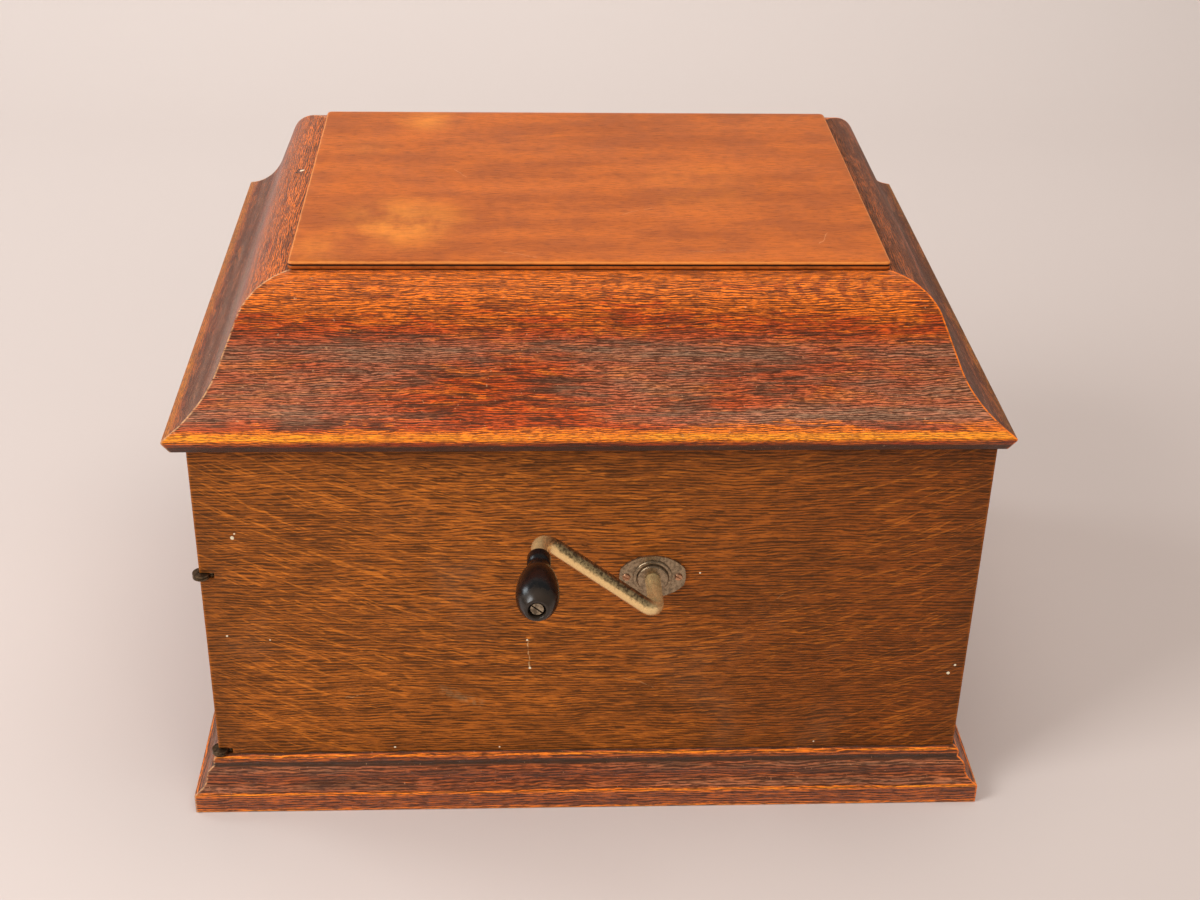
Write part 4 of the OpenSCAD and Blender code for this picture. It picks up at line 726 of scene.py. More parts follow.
def rail_joints(tree, seen, vector, base):
    """Dirt and painted shade in the corners of the moulding and under the lid's nose, a line
    along each mitre, pale on the front ones and orange on the back ones, and pale specks."""
    # Dirt and painted shade where worn is negative: the creases and the underside of the lid's
    # nose.
    base = laid_over(tree, step(tree, seen["worn"], -0.05, -0.6), 0.90, base, RAIL_DIRT_AND_SHADE)
    joint = step(tree, seen["mitre"], JOINT_WIDE, JOINT_NARROW)
    joint = calc(tree, "MULTIPLY", joint, step(tree, seen["ragged"], 0.38, 0.54))
    towards_back = step(tree, split(tree, vector)[1], -50 * MM, 50 * MM)
    base = mixed(tree, joint, base, mixed(tree, towards_back, MITRE_LIGHT, RAIL_ORANGE))
    specks = step(tree, noise(tree, vector, 420.0, 2.0), 0.70, 0.76)
    return laid_over(tree, specks, 0.45, base, MITRE_LIGHT)


print("a mitre's line is", round(JOINT_WIDE / MM, 1), "mm wide at most")

# %% The rails' whole finish
RAIL_MARKS = ("worn", "mitre", "cloud", "high", "inside", "soot_and_shade")


def rail_oak(name, dust_and_sheen, glow, swing, fine, brown=0.0, polish=0.0, arches=None, marks=(),
             lines=(), holes=()):
    """dust_and_sheen is how much of the moulding is greyed with dust and a painted sheen,
    glow how orange its high parts are, which on the lid's upper round is painted light,
    swing how far its growth rings wander, fine how much finer they are than a panel's,
    brown how much the red is dulled and polish how much smoother it is. arches is the
    place of the pointed grain on the map; marks, lines and holes are chips, scratches and
    nail holes at their places on the object."""
    material, tree, shader = new_material(name)
    chart, vector = coordinates(tree, "UV"), coordinates(tree)
    seen = {mark: mark_of(tree, mark) for mark in RAIL_MARKS} | rail_patterns(tree, chart)
    figure = use(tree, OAK_FIGURE, {"Vector": stretched(tree, chart, (fine, fine, 1)),
                                    "Bend": 0.25, "Swing": swing})
    base = rail_stain(tree, seen, dust_and_sheen, glow, brown)
    if arches:
        ring, window = cathedral(tree, chart, *arches)
        base = laid_over(tree, window, 0.5, base, mixed(tree, ring, ARCH_RED, RAIL_ORANGE))
    base, bright = rail_wear(tree, seen, base)
    base, soot_and_shade = rail_soot_and_shade(tree, seen, base)
    base = mixed(tree, seen["inside"], base, RAIL_PLAIN)
    drawn = calc(tree, "MULTIPLY_ADD", bright, -0.30, 0.88)
    base = laid_over(tree, figure["Lines"], drawn, base, RAIL_SHADE)
    base = laid_over(tree, figure["Pores"], 0.72, base, RAIL_SHADE)
    base = rail_joints(tree, seen, vector, base)
    for places, tint in ((marks, PAINT_CHIP), (holes, HOLE_DARK)):
        if places:
            base = mixed(tree, chips(tree, vector, places), base, tint)
    if lines:
        base = mixed(tree, scratches(tree, vector, lines, (0, 5, 0)), base, MITRE_LIGHT)
    rough = calc(tree, "MULTIPLY_ADD", seen["ragged"], 0.20, 0.30 - polish)
    rough = calc(tree, "MULTIPLY_ADD", soot_and_shade, 0.30, rough)
    hollows = calc(tree, "MAXIMUM", figure["Pores"], figure["Lines"])
    height = calc(tree, "SUBTRACT", calc(tree, "MULTIPLY", seen["ragged"], 0.5), hollows)
    finish(tree, shader, base, rough, height, RAIL_RELIEF, Specular_IOR_Level=0.30 + 2 * polish,
           Sheen_Weight=0.06 + 0.3 * polish, Sheen_Roughness=0.35)
    return material


LID_MARKS = [
    (176.8, -118.4, 330.0, 1.2), (257.0, -134.2, 283.0, 1.6), (138.4, -54.6, 341.0, 1.0),
    (186.0, -128.0, 282.0, 2.0), (184.0, -118.9, 278.0, 1.0), (-32.0, -193.8, 356.2, 1.5)]
NAIL_HOLE = [
    (-35.0, -196.4, 355.5, 1.6), (-31.5, -197.4, 355.1, 1.7), (-28.8, -195.4, 355.8, 1.1)]
LID_SCRATCHES = [
    (186.0, -136.0, 282.0, 0, 7, 9, 0.5, 0.7), (170.0, -120.0, 322.0, 3, 1, -9, 0.4, 0.6),
    (205.0, 38.0, 274.0, 0, 1, 8, 0.9, 0.4), (165.0, -96.0, 330.0, 0, 14, 1, 0.4, 0.4)]
ARCH_PLACE = (112 * MM, 106 * MM)
LID_OAK = rail_oak("oak_lid", 0.74, 0.84, 20.0, 1.45, arches=ARCH_PLACE, marks=LID_MARKS,
                   lines=LID_SCRATCHES, holes=NAIL_HOLE)
BASE_OAK = rail_oak("oak_base", 0.36, 0.34, 8.0, 1.0, brown=0.62, polish=0.07)
print("rail finishes:", LID_OAK.name, BASE_OAK.name)

# %% [markdown]
# A rail is its profile carried along the side and cut at 45 degrees: a point that lies a
# step t inwards can only run to half the length minus t. A Boolean could cut straight
# bars as well, but it would leave uneven faces at the mitre. The profile itself is made
# of straights and arcs, and its sharp corners get a small round, because real edges have
# one.

# %% Outlines of a profile


def arc_points(centre, radius, start, end, count=14):
    """centre + radius * (cos a, sin a) for angles a from start to end, in degrees."""
    angle = np.radians(np.linspace(start, end, count))
    return np.stack([centre[0] + radius * np.cos(angle), centre[1] + radius * np.sin(angle)], 1)


def eased(points, ease, sharp=18.0):
    """Replaces each sharp corner of a closed outline by a short parabola that starts and
    ends the ease before and after it: (1-s)^2 a + 2s(1-s) corner + s^2 b."""
    before, after = np.roll(points, 1, 0) - points, np.roll(points, -1, 0) - points
    lengths = [np.linalg.norm(side, axis=1, keepdims=True) for side in (before, after)]
    cosine = (before * after).sum(1) / (lengths[0] * lengths[1])[:, 0]
    reach = np.minimum(ease, 0.45 * np.minimum(*lengths))
    start, end = points + before / lengths[0] * reach, points + after / lengths[1] * reach
    s = np.linspace(0, 1, 5)[None, :, None]
    rounds = ((1 - s) ** 2 * start[:, None] + 2 * s * (1 - s) * points[:, None]
              + s ** 2 * end[:, None])
    corner_is_sharp = cosine > -math.cos(math.radians(sharp))
    rounds[~corner_is_sharp, 0] = points[~corner_is_sharp]
    return rounds[corner_is_sharp[:, None] | (np.arange(5) == 0)]


def refined(points, longest):
    """Cuts the long straights of a closed outline so that none is above the longest: a
    straight from a to b in n parts has the points a + (b - a) * k / n."""
    runs = np.roll(points, -1, 0) - points
    counts = np.maximum(1, np.ceil(np.linalg.norm(runs, axis=1) / longest)).astype(int)
    owner = np.repeat(np.arange(len(points)), counts)
    number = np.arange(counts.sum()) - np.repeat(np.cumsum(counts) - counts, counts)
    return points[owner] + runs[owner] * number[:, None] / counts[owner][:, None]


square_outline = np.array([[0, 0], [10, 0], [10, 10], [0, 10.0]])
print("a square of 4 corners, eased, has", len(eased(square_outline, 1.0)), "points")

# %% Rails and their marks
GLUE_GAP, RAIL_STEPS, END_CROWD = 0.1, 61, 1.6


def mitred_rails(outline, width, depth, middle_y, base_z, marks, soot_and_shade=(0, 0, 0, 0)):
    """Four grids, one a rail, in the order right, back, left, front, which is also that of
    soot_and_shade, each rail's soot and painted shade. outline is (t, z) in millimetres;
    width and depth are over the outer faces. Point (s, k) = out * (across/2 - t) + along *
    s * (length/2 - t) + up * z for s from -1 to 1, with the steps of s crowded towards the
    mitres."""
    outline = np.concatenate([outline, outline[:1]])
    run = np.concatenate([[0], np.cumsum(np.linalg.norm(np.diff(outline, axis=0), axis=1))])
    steps = np.linspace(-1, 1, RAIL_STEPS)[:, None]
    steps = np.sign(steps) * (1 - (1 - np.abs(steps)) ** END_CROWD)
    grids = []
    for side in range(4):
        across, length = (width, depth) if side % 2 == 0 else (depth, width)
        turn = math.radians(90 * side)
        out = np.array([math.cos(turn), math.sin(turn), 0])
        along = np.array([-math.sin(turn), math.cos(turn), 0])
        reach = length / 2 - outline[:, 0] - GLUE_GAP
        points = (out * (across / 2 - outline[:, 0])[None, :, None]
                  + along * (steps * reach)[:, :, None]
                  + np.array([0, 0, 1]) * (base_z + outline[:, 1])[None, :, None])
        points[:, :, 1] += middle_y
        chart = (steps * reach + 900 * side, run[None] + 70 * side)
        chart = np.stack(np.broadcast_arrays(*chart), -1)
        mitre = (1 - np.abs(steps)) * reach * MM
        grids.append((points * MM, chart * MM, {"mitre": mitre, "soot_and_shade": soot_and_shade[side], **marks}))
    return grids


def bump_at(outline, places):
    """1 near each place (t, z, width) of an outline and falling off as a bell."""
    outline = np.concatenate([outline, outline[:1]])
    total = np.zeros(len(outline))
    for t, z, width in places:
        far = np.hypot(outline[:, 0] - t, outline[:, 1] - z)
        total = np.maximum(total, np.exp(-(far / width) ** 2))
    return total


print("a rail has", RAIL_STEPS, "rings from mitre to mitre")

# %% [markdown]
# The ogee lid
#
# From the nose upwards the section is a chamfer, an upright nose, a long hollow, a
# straight and a round that ends in a flat under the top board. A curve drawn by eye would
# come close, but arcs repeat the solid's own section. Hollow and round meet the straight
# at the same slope, so their centres stand square to it.

# %% The lid's outline
LID_W, LID_D, LID_Y, LID_Z = 417.0, 510.0, -2.0, 269.4
NOSE_H, LIP_SLOPE, WALL_SLOPE = 9.6, 24.0, 67.0
HOLLOW_R, ROUND_R, STRAIGHT, LID_WALL, FLAT_W, FLAT_T = 60.0, 29.0, 31.4, 12.0, 22.0, 17.0


def lid_outline():
    """The section as (step inwards, height), closed, in millimetres, the height of its
    top and the corners of its inner faces."""
    lip, wall = math.radians(LIP_SLOPE), math.radians(WALL_SLOPE)
    square = np.array([math.sin(wall), -math.cos(wall)])
    hollow = np.array([-HOLLOW_R * math.sin(lip), NOSE_H + HOLLOW_R * math.cos(lip)])
    high = hollow + HOLLOW_R * square + STRAIGHT * np.array([math.cos(wall), math.sin(wall)])
    bulge = high + ROUND_R * square
    top, inner = bulge[1] + ROUND_R, high + LID_WALL * square
    ceiling = top - FLAT_T
    inside = [inner[0] + (z - inner[1]) / math.tan(wall) for z in (ceiling, 0)]
    outline = np.concatenate([
        [[4.1, 0.0], [0.0, NOSE_H - 1.5]],
        arc_points(hollow, HOLLOW_R, LIP_SLOPE - 90, WALL_SLOPE - 90, 26),
        arc_points(bulge, ROUND_R, WALL_SLOPE + 90, 90, 22),
        [[bulge[0] + FLAT_W, top], [bulge[0] + FLAT_W, ceiling], [inside[0], ceiling],
         [inside[1], 0.0]]])
    inner_faces = [(inside[1], 0.0), (inside[0], ceiling), (bulge[0] + FLAT_W, ceiling)]
    return refined(eased(outline, 0.9), 4.0), top, np.array(inner_faces)


def along_faces(outline, corners, width=0.9):
    """1 at the points of an outline that lie on the straights between the corners."""
    outline = np.concatenate([outline, outline[:1]])
    total = np.zeros(len(outline))
    for start, end in zip(corners[:-1], corners[1:]):
        run = end - start
        share = np.clip((outline - start) @ run / (run @ run), 0, 1)
        far = np.linalg.norm(outline - start - share[:, None] * run, axis=1)
        total = np.maximum(total, far < width)
    return total


lid_section, ogee_top, inner_faces = lid_outline()
print("lid's outline:", len(lid_section), "points, top at", round(LID_Z + ogee_top, 1), "mm")

# %% The lid's moulding
# In worn, the dip under the nose marks painted shade; cloud marks the hollow for grey dust and a
# painted sheen; high marks the upper round, painted lighter where it faces up.
lid_marks = {
    "worn": bump_at(lid_section, [(2.0, 10.4, 3.9)])
            + 0.17 * bump_at(lid_section, [(9.0, 14.0, 8.0)])
            - bump_at(lid_section, [(3.0, 1.5, 4.6)]),
    "cloud": bump_at(lid_section, [(15.0, 19.0, 8.0), (26.0, 34.0, 14.0), (34.0, 50.0, 8.0)]),
    "high": bump_at(lid_section, [(52.0, 80.0, 14.0), (66.0, 86.0, 14.0), (86.0, 87.5, 14.0)]),
    "inside": along_faces(lid_section, inner_faces)}
# Soot and painted shade on the back rail and on the front rail's hollow and nose; next to the board
# the darkening is painted shade only.
BACK_SOOT_AND_SHADE = 0.86
front_soot_and_shade = (0.80 * bump_at(lid_section, [(11.0, 15.0, 7.0), (20.0, 22.0, 9.0)])
              + 0.45 * bump_at(lid_section, [(2.0, 9.0, 4.0), (80.0, 87.5, 20.0)]))
lid = grid_piece("lid_moulding_oak", mitred_rails(
    lid_section, LID_W, LID_D, LID_Y, LID_Z, lid_marks, (0, BACK_SOOT_AND_SHADE, 0, front_soot_and_shade)), LID_OAK)
dress(lid, "lid_moulding")
print("lid:", len(lid.data.polygons), "faces")

# %% [markdown]
# The leaves of the lid's hinges lie in shallow recesses under the back rail. The profile
# can't be changed for them, since it runs the whole length of the rail, so a Boolean with
# a small box cuts each recess.

# %% The recesses of the lid's hinges
LID_HINGE_X, HINGE_HALF, HINGE_LEAF_T = 120.0, 16.0, 1.6


def let_in(piece, leaves, clear):
    """Cuts a shallow recess under the piece for each of the two hinge leaves."""
    low, high = (np.array(corner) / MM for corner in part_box(leaves))
    y, z = (low[1] - clear, high[1] + 10), (LID_Z - 1, LID_Z + HINGE_LEAF_T + 0.1)
    ring = np.array([[y[0], z[0]], [y[1], z[0]], [y[1], z[1]], [y[0], z[1]], [y[0], z[0]]])
    for middle in (-LID_HINGE_X, LID_HINGE_X):
        ends = [middle - HINGE_HALF - clear, middle + HINGE_HALF + clear]
        points = np.stack([np.column_stack([np.full(5, x), ring]) for x in ends]) * MM
        cutter = grid_piece("leaf_cutter", [(points, points[:, :, :2], {})], LID_OAK)
        cut = piece.modifiers.new("let_in", "BOOLEAN")
        cut.object, cut.operation, cut.solver = cutter, "DIFFERENCE", "EXACT"
        solid = piece.evaluated_get(bpy.context.evaluated_depsgraph_get())
        mesh = bpy.data.meshes.new_from_object(solid)
        piece.modifiers.clear()
        piece.data = mesh
        bpy.data.objects.remove(cutter)


let_in(lid, "lid_hinge_leaves", 0.3)
print("lid with its recesses:", len(lid.data.polygons), "faces")

# %% [markdown]
# The base moulding
#
# A plinth, a hollow, a round, a small upright and a bead against the case. Its arrises
# are rubbed bright, the hollow is greyed with dust and a painted sheen, and the creases
# and the bead's top against the case carry painted shade. The solid could be kept with a
# bevel on it, but the finish needs the map and the marks, so the base is built as the lid
# is.

# %% The base's outline
PLINTH_H, COVE_R, COVE_START, BEAD_R, FILLET_H = 14.2, 9.3, 79.5, 3.6, 3.9
BASE_ROUND_R, ROUND_SWEEP, LEDGE_W, BOTTOM_T = 6.4, 74.0, 34.0, 13.0


def base_outline():
    """The section as (step inwards, height), closed, its width over the case and its
    height."""
    cove_out = COVE_R * (1 - math.cos(math.radians(COVE_START)))
    cove_z = PLINTH_H + COVE_R * math.sin(math.radians(COVE_START))
    end = 180 - ROUND_SWEEP
    round_in = cove_out + BASE_ROUND_R * (1 + math.cos(math.radians(end)))
    round_z = cove_z + BASE_ROUND_R * math.sin(math.radians(end))
    out, high = round_in + BEAD_R, round_z + FILLET_H + BEAD_R
    ledge = high - BOTTOM_T
    outline = np.concatenate([
        [[0.0, 0.0]],
        arc_points((cove_out - COVE_R, cove_z), COVE_R, -COVE_START, 0, 14),
        arc_points((cove_out + BASE_ROUND_R, cove_z), BASE_ROUND_R, 180, end, 10),
        arc_points((out, round_z + FILLET_H), BEAD_R, 180, 90, 8),
        [[out, ledge], [LEDGE_W, ledge], [LEDGE_W, 0.0]]])
    return refined(eased(outline, 0.7), 4.0), out, high


base_section, base_out, base_high = base_outline()
print("base's outline:", len(base_section), "points")

# %% The base's moulding
# In worn, the dips at the creases and where the bead meets the case mark painted shade; cloud marks
# the hollow for grey dust and a painted sheen.
base_marks = {
    "worn": 0.85 * bump_at(base_section, [(0.4, 14.0, 1.0), (0.0, 0.5, 1.0), (12.9, 35.8, 1.1)])
            - bump_at(base_section, [(11.9, 30.4, 1.6), (8.6, 22.8, 0.9),
                                     (base_out, base_high, 1.2)]),
    "cloud": bump_at(base_section, [(4.0, 16.5, 3.2), (9.5, 27.0, 3.0)]),
    "high": bump_at(base_section, [(12.3, 33.0, 1.6), (0.0, 8.0, 3.0)]),
    "inside": bump_at(base_section, [])}
base = grid_piece("base_moulding_oak", mitred_rails(
    base_section, CASE_W + 2 * base_out, CASE_D + 2 * base_out, 0.0, 0.0, base_marks), BASE_OAK)
dress(base, "base_moulding")
print("base:", len(base.data.polygons), "faces, height", round(base_high, 2), "mm")

# %% [markdown]
# The board on the lid
#
# A thin smooth board with rounded corners, browner and plainer than the oak, rubbed pale
# at its edge, which has a fine groove half way up; the groove and the underside of the edge
# are painted near-black as shade. A bevelled box would have neither the groove nor marks for
# the wear and the shade. So the plan is a rounded rectangle, and the board is a stack of
# such rings, each with its own inset and height.

# %% A plate from rings


def rounded_ring(half_x, half_y, radius, count=12):
    """Corner arcs of a rectangle, joined by its straights, from the +X +Y corner on."""
    corners = []
    for sx, sy, start in ((1, 1, 0), (-1, 1, 90), (-1, -1, 180), (1, -1, 270)):
        centre = (sx * (half_x - radius), sy * (half_y - radius))
        corners.append(arc_points(centre, radius, start, start + 90, count))
    ring = refined(np.concatenate(corners), 6.0)
    return np.concatenate([ring, ring[:1]])


def plate_grid(node, radius, steps):
    """A stack of rings, each the plan shrunk by its inset: steps is (inset, drop from the
    plate's top, worn), in millimetres; where worn is negative, painted shade goes."""
    low, high = (np.array(corner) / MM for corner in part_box(node))
    middle = (low + high) / 2
    half = (high - low) / 2
    base_ring = rounded_ring(half[0], half[1], radius)
    count = len(base_ring)
    rings, worn = [], []
    for inset, drop, mark in steps:
        shrink = 1 - inset / half[:2]
        rings.append(np.column_stack([middle[0] + base_ring[:, 0] * shrink[0],
                                      middle[1] + base_ring[:, 1] * shrink[1],
                                      np.full(count, high[2] - drop)]))
        worn.append(np.full(count, mark))
    points = np.stack(rings)
    return points * MM, points[:, :, [1, 0]] * MM, {"worn": np.stack(worn)}


print("a corner of the plan has", len(arc_points((0, 0), 1, 0, 90, 12)), "points")

# %% The top board's finish
TOP_MID = colour(0.355, 0.078, 0.0110)
TOP_LIGHT = colour(0.525, 0.120, 0.0150)
TOP_DARK = colour(0.105, 0.023, 0.0042)
TOP_FADED = colour(0.80, 0.27, 0.035)
TOP_RUBBED = colour(0.70, 0.24, 0.055)
TOP_GROOVE_SHADE = colour(0.02, 0.009, 0.005)
TOP_Z, TOP_RELIEF = 362.4, 0.05 * MM
TOP_SCRATCHES = [(x, y, TOP_Z, dx, dy, 0, width, strength) for x, y, dx, dy, width, strength in (
    (120, -60, 9, 26, 0.4, 0.5), (60, 20, -14, 30, 0.35, 0.4), (118, 95, 3, -40, 0.3, 0.4),
    (-20, -90, 22, 12, 0.4, 0.35), (140, -10, -4, 48, 0.35, 0.45), (90, 150, 18, -9, 0.4, 0.4))]
TOP_SPOTS = [(74, -121, 58, 0.75), (-118, -110, 32, 0.6), (-60, -150, 22, 0.35),
             (118, -165, 34, 0.35), (10, 70, 60, 0.2)]


def top_board_finish():
    material, tree, shader = new_material("top_board_wood")
    vector = coordinates(tree)
    worn = mark_of(tree, "worn")
    fine = noise(tree, stretched(tree, vector, (1300, 120, 300)), detail=3.0, rough=0.65)
    wide = noise(tree, stretched(tree, vector, (42, 7, 10), (3, 2, 0)), detail=5.0, rough=0.6)
    cloud = noise(tree, vector, 30.0, 5.0, 0.65)
    base = mixed(tree, step(tree, calc(tree, "MULTIPLY_ADD", cloud, 0.6, wide), 0.62, 0.98),
                 TOP_MID, TOP_LIGHT)
    base = laid_over(tree, step(tree, fine, 0.46, 0.66), 0.50, base, TOP_DARK)
    flecks = noise(tree, stretched(tree, vector, (1500, 160, 300), (0, 4, 0)), detail=2.0)
    base = laid_over(tree, step(tree, flecks, 0.60, 0.72), 0.55, base, TOP_DARK)
    topside = step(tree, split(tree, vector)[2], (TOP_Z - 2.9) * MM, (TOP_Z - 0.9) * MM)
    for x, y, size, amount in TOP_SPOTS:
        far = vector_calc(tree, "DISTANCE", vector, (x * MM, y * MM, TOP_Z * MM), out="Value")
        near = step(tree, calc(tree, "DIVIDE", far, size * MM), 1.0, 0.0)
        spot = calc(tree, "MULTIPLY", near, step(tree, cloud, 0.30, 0.70))
        spot = calc(tree, "MULTIPLY", spot, topside)
        base = laid_over(tree, spot, amount, base, TOP_FADED)
    lines = scratches(tree, vector, TOP_SCRATCHES, (6, 6, 0))
    base = mixed(tree, lines, base, MITRE_LIGHT)
    scuffs = stretched(tree, vector, (90, 210, 60), turn=(0, 0, 0.5))
    scuffs = noise(tree, scuffs, detail=6.0, rough=0.8)
    base = laid_over(tree, step(tree, scuffs, 0.66, 0.74), 0.40, base, MITRE_LIGHT)
    ragged = noise(tree, stretched(tree, vector, (160, 160, 500)), detail=4.0, rough=0.7)
    rub = step(tree, calc(tree, "ADD", worn, calc(tree, "MULTIPLY", ragged, 0.9)), 0.95, 1.40)
    base = laid_over(tree, rub, 0.60, base, TOP_RUBBED)
    # Painted shade: the groove and the underside of the edge, where worn is negative, go
    # near-black.
    base = mixed(tree, step(tree, worn, -0.1, -0.6), base, TOP_GROOVE_SHADE)
    rough = calc(tree, "MULTIPLY_ADD", cloud, 0.2, 0.34)
    finish(tree, shader, base, rough, fine, TOP_RELIEF, Specular_IOR_Level=0.15)
    return material


TOP_WOOD = top_board_finish()
print("finish:", TOP_WOOD.name)

# %% The top board
# Negative worn values mark the groove and the underside of the edge for painted shade.
top_steps = [
    (100.0, 0.0, 0), (30.0, 0.0, 0), (6.0, 0.0, 0.1), (1.6, 0.0, 0.55), (0.7, 0.15, 0.9),
    (0.2, 0.6, 1.0), (0.0, 1.2, 0.8), (0.1, 1.5, -0.2), (0.35, 1.9, -0.9), (0.35, 2.5, -0.9),
    (0.1, 2.9, 0.0), (0.0, 3.4, 0.6), (0.0, 4.3, 0.3), (0.3, 4.9, -0.6), (0.9, 5.45, -1.0),
    (3.0, 5.5, -1.0), (8.0, 5.5, 0.0), (60.0, 5.5, 0.0), (120.0, 5.5, 0.0)]
top_board = grid_piece("lid_top_board_wood", [plate_grid("lid_top_board", 3.0, top_steps)],
                       TOP_WOOD)
dress(top_board, "lid_top_board")
print("top board:", len(top_board.data.polygons), "faces")

# %% [markdown]
# Metals
#
# The crank was nickel-plated. Its upper side is dulled and speckled, and its lower side
# and its two ends are rubbed down to a golden tone, with a painted warm reflection on the
# lower side and a painted highlight at the ends. A metal with one even shine would look
# new. So a group gives the patches and specks of tarnish, and each metal mixes its own
# colours with them.

# %% The tarnish group


def tarnish_group():
    """Broad patches, specks nine times as fine and a grain thirty times as fine."""
    group, given, result = new_group(
        "tarnish", [("Vector", VECTOR, None), ("Scale", FLOAT, 60.0)], ["Patch", "Specks", "Fine"])
    patch = noise(group, given[0], given[1], 5.0, 0.62, 0.3)
    plug(group, result["Patch"], step(group, patch, 0.42, 0.62))
    specks = noise(group, given[0], calc(group, "MULTIPLY", given[1], 9.0), 3.0, 0.7)
    plug(group, result["Specks"], step(group, specks, 0.56, 0.68))
    fine = calc(group, "MULTIPLY", given[1], 30.0)
    plug(group, result["Fine"], noise(group, given[0], fine, 2.0))
    return group


TARNISH = tarnish_group()
print("group:", TARNISH.name)

# %% The metals
METAL_RELIEF, RUBBED_AND_LIT_CORE, RUBBED_AND_LIT_REACH = 0.02 * MM, 6 * MM, 14 * MM


def near_line(tree, vector, place):
    """1 near the line along X through a place (y, z), in metres, and 0 past the reach."""
    off = vector_calc(tree, "SUBTRACT", vector, (0, *place))
    off = vector_calc(tree, "MULTIPLY", off, (0, 1, 1))
    far = vector_calc(tree, "LENGTH", off, out="Value")
    return step(tree, far, RUBBED_AND_LIT_REACH, RUBBED_AND_LIT_CORE)


def metal(name, bright, dull, scale, dulling, rough, wear=None, rubbed_and_lit=(), **constants):
    """Bright metal under patches of a dull colour. wear, where given, is a colour that
    shows on the side that faces down at rest, as on a handled rod, with a painted
    reflection of the warm wood below, and all round near the lines along X through the
    rubbed_and_lit places (y, z), as worn plating with a painted highlight."""
    material, tree, shader = new_material(name)
    vector = coordinates(tree)
    stain = use(tree, TARNISH, {"Vector": vector, "Scale": scale})
    amount = calc(tree, "MULTIPLY", stain["Patch"], dulling)
    base = bright
    if wear:
        # Painted reflection over worn plating: the side that faces down turns golden.
        up = split(tree, coordinates(tree, "Normal"))[2]
        glint_and_wear = step(tree, calc(tree, "MULTIPLY_ADD", stain["Patch"], 0.30, up), 0.98, 0.20)
        near = 0.0
        for place in rubbed_and_lit:
            near = calc(tree, "MAXIMUM", near_line(tree, vector, place), near)
        glint_and_wear = calc(tree, "MAXIMUM", glint_and_wear, calc(tree, "MULTIPLY", near, 0.70))
        base = mixed(tree, glint_and_wear, bright, wear)
        amount = calc(tree, "MULTIPLY", amount, calc(tree, "SUBTRACT", 1.1, glint_and_wear))
    base = mixed(tree, amount, base, dull)
    specks = calc(tree, "MULTIPLY", stain["Specks"], dulling)
    base = mixed(tree, specks, base, dull)
    roughness = calc(tree, "MULTIPLY_ADD", calc(tree, "MAXIMUM", amount, specks), 0.25, rough)
    constants.setdefault("Metallic", 1.0)
    finish(tree, shader, base, roughness, stain["Fine"], METAL_RELIEF, **constants)
    # Painted highlight: near the rubbed places the metal is less metallic, so it shows bright.
    if rubbed_and_lit:
        plug(tree, shader.inputs["Metallic"], calc(tree, "MULTIPLY_ADD", near, -0.28, 0.90))
    return material


NICKEL_WORN = metal(
    "nickel_worn", colour(0.30, 0.20, 0.105), colour(0.07, 0.038, 0.018), 520.0, 0.62, 0.22,
    wear=colour(1.0, 0.70, 0.32), rubbed_and_lit=((0.0371, 0.1755), (-0.0380, 0.2300)))
NICKEL = metal("nickel", colour(0.62, 0.57, 0.49), colour(0.22, 0.18, 0.13), 45.0, 0.45, 0.22)
BRONZE = metal("bronze_plate", colour(0.36, 0.26, 0.160), colour(0.050, 0.034, 0.021), 420.0,
               0.50, 0.25, Metallic=0.88)
BRASS = metal("brass", colour(0.68, 0.47, 0.19), colour(0.20, 0.12, 0.05), 50.0, 0.5, 0.28)
DARK_BRASS = metal("dark_brass", colour(0.15, 0.10, 0.055), colour(0.035, 0.025, 0.017), 420.0,
                   0.6, 0.42)
COPPER = metal("coppery_brass", colour(0.62, 0.33, 0.18), colour(0.16, 0.08, 0.05), 300.0,
               0.5, 0.34)
STEEL = metal("steel", colour(0.56, 0.56, 0.56), colour(0.20, 0.18, 0.16), 80.0, 0.4, 0.25)
SCREW_STEEL = metal("screw_steel", colour(0.40, 0.32, 0.22), colour(0.07, 0.048, 0.03), 300.0,
                    0.7, 0.34)
IRON = metal("japanned_iron", colour(0.035, 0.034, 0.034), colour(0.07, 0.055, 0.045), 60.0,
             0.5, 0.35, Metallic=0.0, Coat_Weight=0.4, Coat_Roughness=0.2)
METALS = (NICKEL_WORN, NICKEL, BRONZE, BRASS, DARK_BRASS, COPPER, STEEL, SCREW_STEEL, IRON)
print("metals:", [item.name for item in METALS])

# %% [markdown]
# The crank
#
# The rod is one bar bent twice: out of the case, along the arm and out again towards the
# knob. A curve with a round bevel would make it too. Its path lies in one plane, though,
# which makes the rings easy to work out: each stands square to the path with two
# directions, the plane's normal, which never turns, and the tangent crossed with it.

# %% The crank's rod
CRANK_Y, CRANK_Z = 37.1, 175.5
ROD_R, CRANK_OUT, CRANK_LEN, BEND_R, ROD_INNER_END = 4.9, 41.0, 90.6, 11.0, -48.0
CRANK_ANGLE, KNOB_LEAN, KNOB_START, KNOB_BEND_R, GAP = 37.9, 2.5, 22.8, 14.0, 0.3
ARM = np.array([0, -math.cos(math.radians(CRANK_ANGLE)), math.sin(math.radians(CRANK_ANGLE))])
OUT = np.array([1.0, 0, 0])
SQUARE = np.cross(OUT, ARM)
HUB = np.array([CASE_SIDE, CRANK_Y, CRANK_Z])


